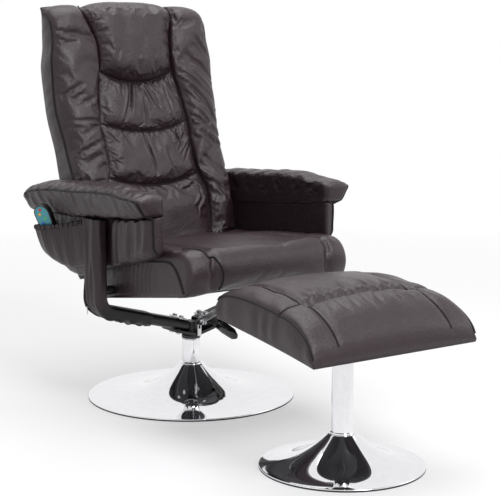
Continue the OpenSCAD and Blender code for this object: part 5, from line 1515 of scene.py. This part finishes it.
class RECLINER_OT_sleeves(bpy.types.Operator):
    """Adds the loose sleeves on the frame's uprights, with their zips"""
    bl_idname = "recliner.add_sleeves"
    bl_label = "Sleeves"

    def execute(self, context):
        metal = context.scene.recliner_metal
        for side, label in ((-1, "left"), (1, "right")):
            outer = sleeve_rings(side, 1.0 + side)
            inner = sleeve_rings(side, 0, -1.6, False)
            made = open_tube(f"sleeve_cloth_{label}", outer, inner, finish("dark_leather"))
            placed(made, "dark_leather", "chair_frame", f"sleeve_{label}")
            path, _ = sleeve_path(60)

            def beside(shift, ends, out):
                spots = [(side * (x + nx * ZIP_OUT), ZIP_Y + shift, z + nz * ZIP_OUT)
                         for x, z, nx, nz in path[ends:-ends]]
                return on_surface(made, spots, out)

            tree = bpy.data.node_groups.get("Row") or row_tree()
            teeth = worked(lines_object([beside(shift, 2, 0.5) for shift in (-1.1, 1.1)]), tree, {
                "Step": metal.zip_step, "Size": (0.0018, 0.0024, 0.0016),
                "Material": finish("black_plastic")},
                f"zip_teeth_{label}")
            placed(teeth, "black_plastic", "chair_frame")
            tapes = [beside(shift, 1, 0.1) for shift in (-4.4, 4.4)]
            piping(f"zip_tape_{label}", tapes, "chair_frame", "dark_leather", 0.0012)
        return {"FINISHED"}


class RECLINER_OT_arms(bpy.types.Operator):
    """Adds the padded sides and rolls of both arms, with their piping"""
    bl_idname = "recliner.add_arms"
    bl_label = "Arms"

    def execute(self, context):
        for side in (-1, 1):
            build_arm(side)
        return {"FINISHED"}


class RECLINER_OT_pocket(bpy.types.Operator):
    """Adds the handset's pocket with its ruched hem"""
    bl_idname = "recliner.add_pocket"
    bl_label = "Pocket"

    def execute(self, context):
        outer, inner = pocket_grid(0.0), pocket_grid(2.0)
        made = two_sheets("pocket_leather", outer, inner, finish("dark_leather"))
        placed(made, "dark_leather", "chair_frame", "side_pocket")
        edge = outer[-1] + [0.6, 0, 0]
        t = np.linspace(0, 1, 420)
        line = np.stack([np.interp(t, np.linspace(0, 1, len(edge)), edge[:, k]) for k in range(3)], -1)
        rings = []
        a = np.linspace(0, math.tau, 12, endpoint=False)
        for k, point in enumerate(line):
            r = 3.2 + 1.3 * math.sin(k * 0.62) + 0.6 * math.sin(k * 0.23)
            ahead = line[min(k + 1, len(line) - 1)] - line[max(k - 1, 0)]
            ahead /= np.linalg.norm(ahead)
            across = np.cross(ahead, (0, 0, 1.0))
            across /= np.linalg.norm(across)
            rings.append(point + r * (np.cos(a)[:, None] * across
                                      + 1.5 * np.sin(a)[:, None] * np.array((0, 0, 1.0))))
        hem = tube("pocket_hem", np.array(rings), finish("dark_leather"))
        placed(hem, "dark_leather", "chair_frame")
        return {"FINISHED"}


class RECLINER_OT_seat(bpy.types.Operator):
    """Adds the seat's cushion with its side boxing and piping"""
    bl_idname = "recliner.add_seat"
    bl_label = "Seat"

    def execute(self, context):
        rings = leather_sheet(seat_shape, 170, 110, seat_sewn, loop=True, grow=0.02, pressure=0.9, cap=6)
        made = tube("seat_leather", rings, finish("brown_leather"))
        leather_piece("seat_cushion", "seat", made)
        lines = []
        for side, label in ((-1, "left"), (1, "right")):
            shape = seat_side(side, 12 + side)
            u, v = grid(150, 40)
            outer = shape(u, v)
            inner = outer.copy()
            inner[..., 0] = side * (SEAT_HALF - 9)
            boxing = two_sheets(f"seat_boxing_{label}", outer, inner, finish("brown_leather"))
            leather_piece(None, "seat", boxing)
            edge = smooth_line([(side * x, y, z) for x, y, z in SEAT_EDGE], 90)
            lines.append(on_surface(boxing, edge[edge[:, 1] > -352], 0.9))
        lines.append(on_surface(made, smooth_line(SEAT_SEAM, 60), 0.5))
        piping("seat_piping", lines, "seat", "brown_leather")
        return {"FINISHED"}


class RECLINER_OT_back(bpy.types.Operator):
    """Adds the back's four panels, its two bolsters and the seams between them"""
    bl_idname = "recliner.add_back"
    bl_label = "Back"

    def execute(self, context):
        seams = []
        for number, (node, (ends, crown, marks)) in enumerate(PANELS.items()):
            shape = panel_shape(ends, crown, marks, 60 + number)
            sheet = leather_sheet(shape, PANEL_GRID[0], PANEL_GRID[1], hold_rim(0.1), grow=0.03, pressure=1.6,
                                  cap=6, coarse=3)
            made = pad(node.replace("_pad", "") + "_leather", sheet, panel_rim(ends, *grid(*PANEL_GRID)),
                       finish("brown_leather"))
            leather_piece(node, "back", made)
            if not ends[-1]:
                line = shape(np.linspace(0.0, 1, 70), np.full(70, 0.999))
                seams.append(line + of_back(np.array([0, -1.0, 0])) - of_back(np.zeros(3)))
        build_bolster(-1, LEFT_BOLSTER_MARKS)
        build_bolster(1, RIGHT_BOLSTER_MARKS)
        z = np.linspace(20, 726, 150)
        for side in (-1, 1):
            rows = xyz(side * panel_half(z),
                       padding_front(z) + SEAM_DEEP - 0.5 + 34 * (1 - arch((740 - z) / 60)), z)
            seams.append(of_back(rows))
        piping("back_seams", seams, "back", "brown_leather", 0.0021)
        return {"FINISHED"}


class RECLINER_OT_linings(bpy.types.Operator):
    """Adds the black cloth over the back's rear and under the seat"""
    bl_idname = "recliner.add_linings"
    bl_label = "Linings"

    def execute(self, context):
        cover = two_sheets("rear_lining", rear_cover(0.0), rear_cover(2.0), finish("black_lining"))
        placed(cover, "black_lining", "back", "back_rear_cover")
        low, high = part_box("seat_dust_cover")
        u, v = grid(60, 50)
        x = lerp(low.x, high.x, u) / MM
        y = lerp(low.y, high.y, v) / MM
        rise = math.tan(math.radians(SEAT_SLOPE))
        plane = high.z / MM - rise * (y - low.y / MM)
        sag = (-2.0 * np.sin(math.pi * u) * np.sin(math.pi * v)
               + 0.6 * ripples(x, y, 31, 120, 1.0) * np.sin(math.pi * u))
        top = xyz(x, y, plane - 0.2)
        under = xyz(x, y, plane - 1.6 + np.minimum(sag, 0.2) * np.sin(math.pi * v))
        cloth = two_sheets("seat_lining", under, top, finish("black_lining"))
        placed(cloth, "black_lining", "seat", "seat_dust_cover")
        return {"FINISHED"}


class RECLINER_OT_footstool(bpy.types.Operator):
    """Adds the footstool's cushion with its seams and piping"""
    bl_idname = "recliner.add_footstool"
    bl_label = "Footstool"

    def execute(self, context):
        sheet = leather_sheet(stool_shape, 150, 120, stool_sewn, grow=0.03, pressure=1.4, cap=6)
        u, v = grid(150, 120)
        flat = of_stool(xyz(*stool_plan(*(clip(place) for place in stool_places(u, v))), 0.0))
        made = pad("footstool_leather", sheet, flat, finish("brown_leather"))
        leather_piece("stool_cushion", "footstool", made)

        def line(p, q, out):
            """Points on the leather at places on the top, a little way out of it."""
            p, q = np.broadcast_arrays((p + SIDE_TURN) / (1 + 2 * SIDE_TURN), q / (1 + REAR_TURN))
            return on_surface(made, stool_shape(p, q), out)

        front, low_front = 0.01 * (1 + REAR_TURN), 0.02 * (1 + REAR_TURN)
        lines = [line(at, np.linspace(front, 1, 90), 0.6) for at in (0, 1)]
        lines.append(line(np.linspace(0, 1, 90), 1.0, 0.6))
        piping("footstool_piping", lines, "footstool", "brown_leather")
        thin = [line(at, np.linspace(low_front, 1, 90), 0.3) for at in LONG_SEAMS]
        thin.append(line(np.linspace(0, LONG_SEAMS[1], 110), CHANNEL, 0.5))
        piping("footstool_seams", thin, "footstool", "brown_leather", 0.0018)
        return {"FINISHED"}


class RECLINER_PT_panel(bpy.types.Panel):
    """Lists the pieces and their settings"""
    bl_idname = "RECLINER_PT_panel"
    bl_label = "Recliner"
    bl_space_type = "VIEW_3D"
    bl_region_type = "UI"
    bl_category = "Recliner"

    def draw(self, context):
        for name in ("recliner_leather", "recliner_metal", "recliner_studio"):
            group = getattr(context.scene, name)
            box = self.layout.box()
            for key in type(group).__annotations__:
                box.prop(group, key)
        for operator in OPERATORS:
            self.layout.operator(operator.bl_idname)


OPERATORS = (RECLINER_OT_stage, RECLINER_OT_feet, RECLINER_OT_hard, RECLINER_OT_sleeves, RECLINER_OT_arms,
             RECLINER_OT_pocket, RECLINER_OT_seat, RECLINER_OT_back, RECLINER_OT_linings,
             RECLINER_OT_footstool)
SETTINGS = {"recliner_leather": RECLINER_PG_leather, "recliner_metal": RECLINER_PG_metal,
            "recliner_studio": RECLINER_PG_studio}


def register():
    for group in SETTINGS.values():
        bpy.utils.register_class(group)
    for name, group in SETTINGS.items():
        setattr(bpy.types.Scene, name, PointerProperty(type=group))
    for operator in OPERATORS:
        bpy.utils.register_class(operator)
    bpy.utils.register_class(RECLINER_PT_panel)


def unregister():
    bpy.utils.unregister_class(RECLINER_PT_panel)
    for operator in reversed(OPERATORS):
        bpy.utils.unregister_class(operator)
    for name in SETTINGS:
        delattr(bpy.types.Scene, name)
    for group in SETTINGS.values():
        bpy.utils.unregister_class(group)


def main():
    register()
    for operator in OPERATORS:
        space, name = operator.bl_idname.split(".")
        getattr(getattr(bpy.ops, space), name)()


if __name__ == "__main__":
    main()
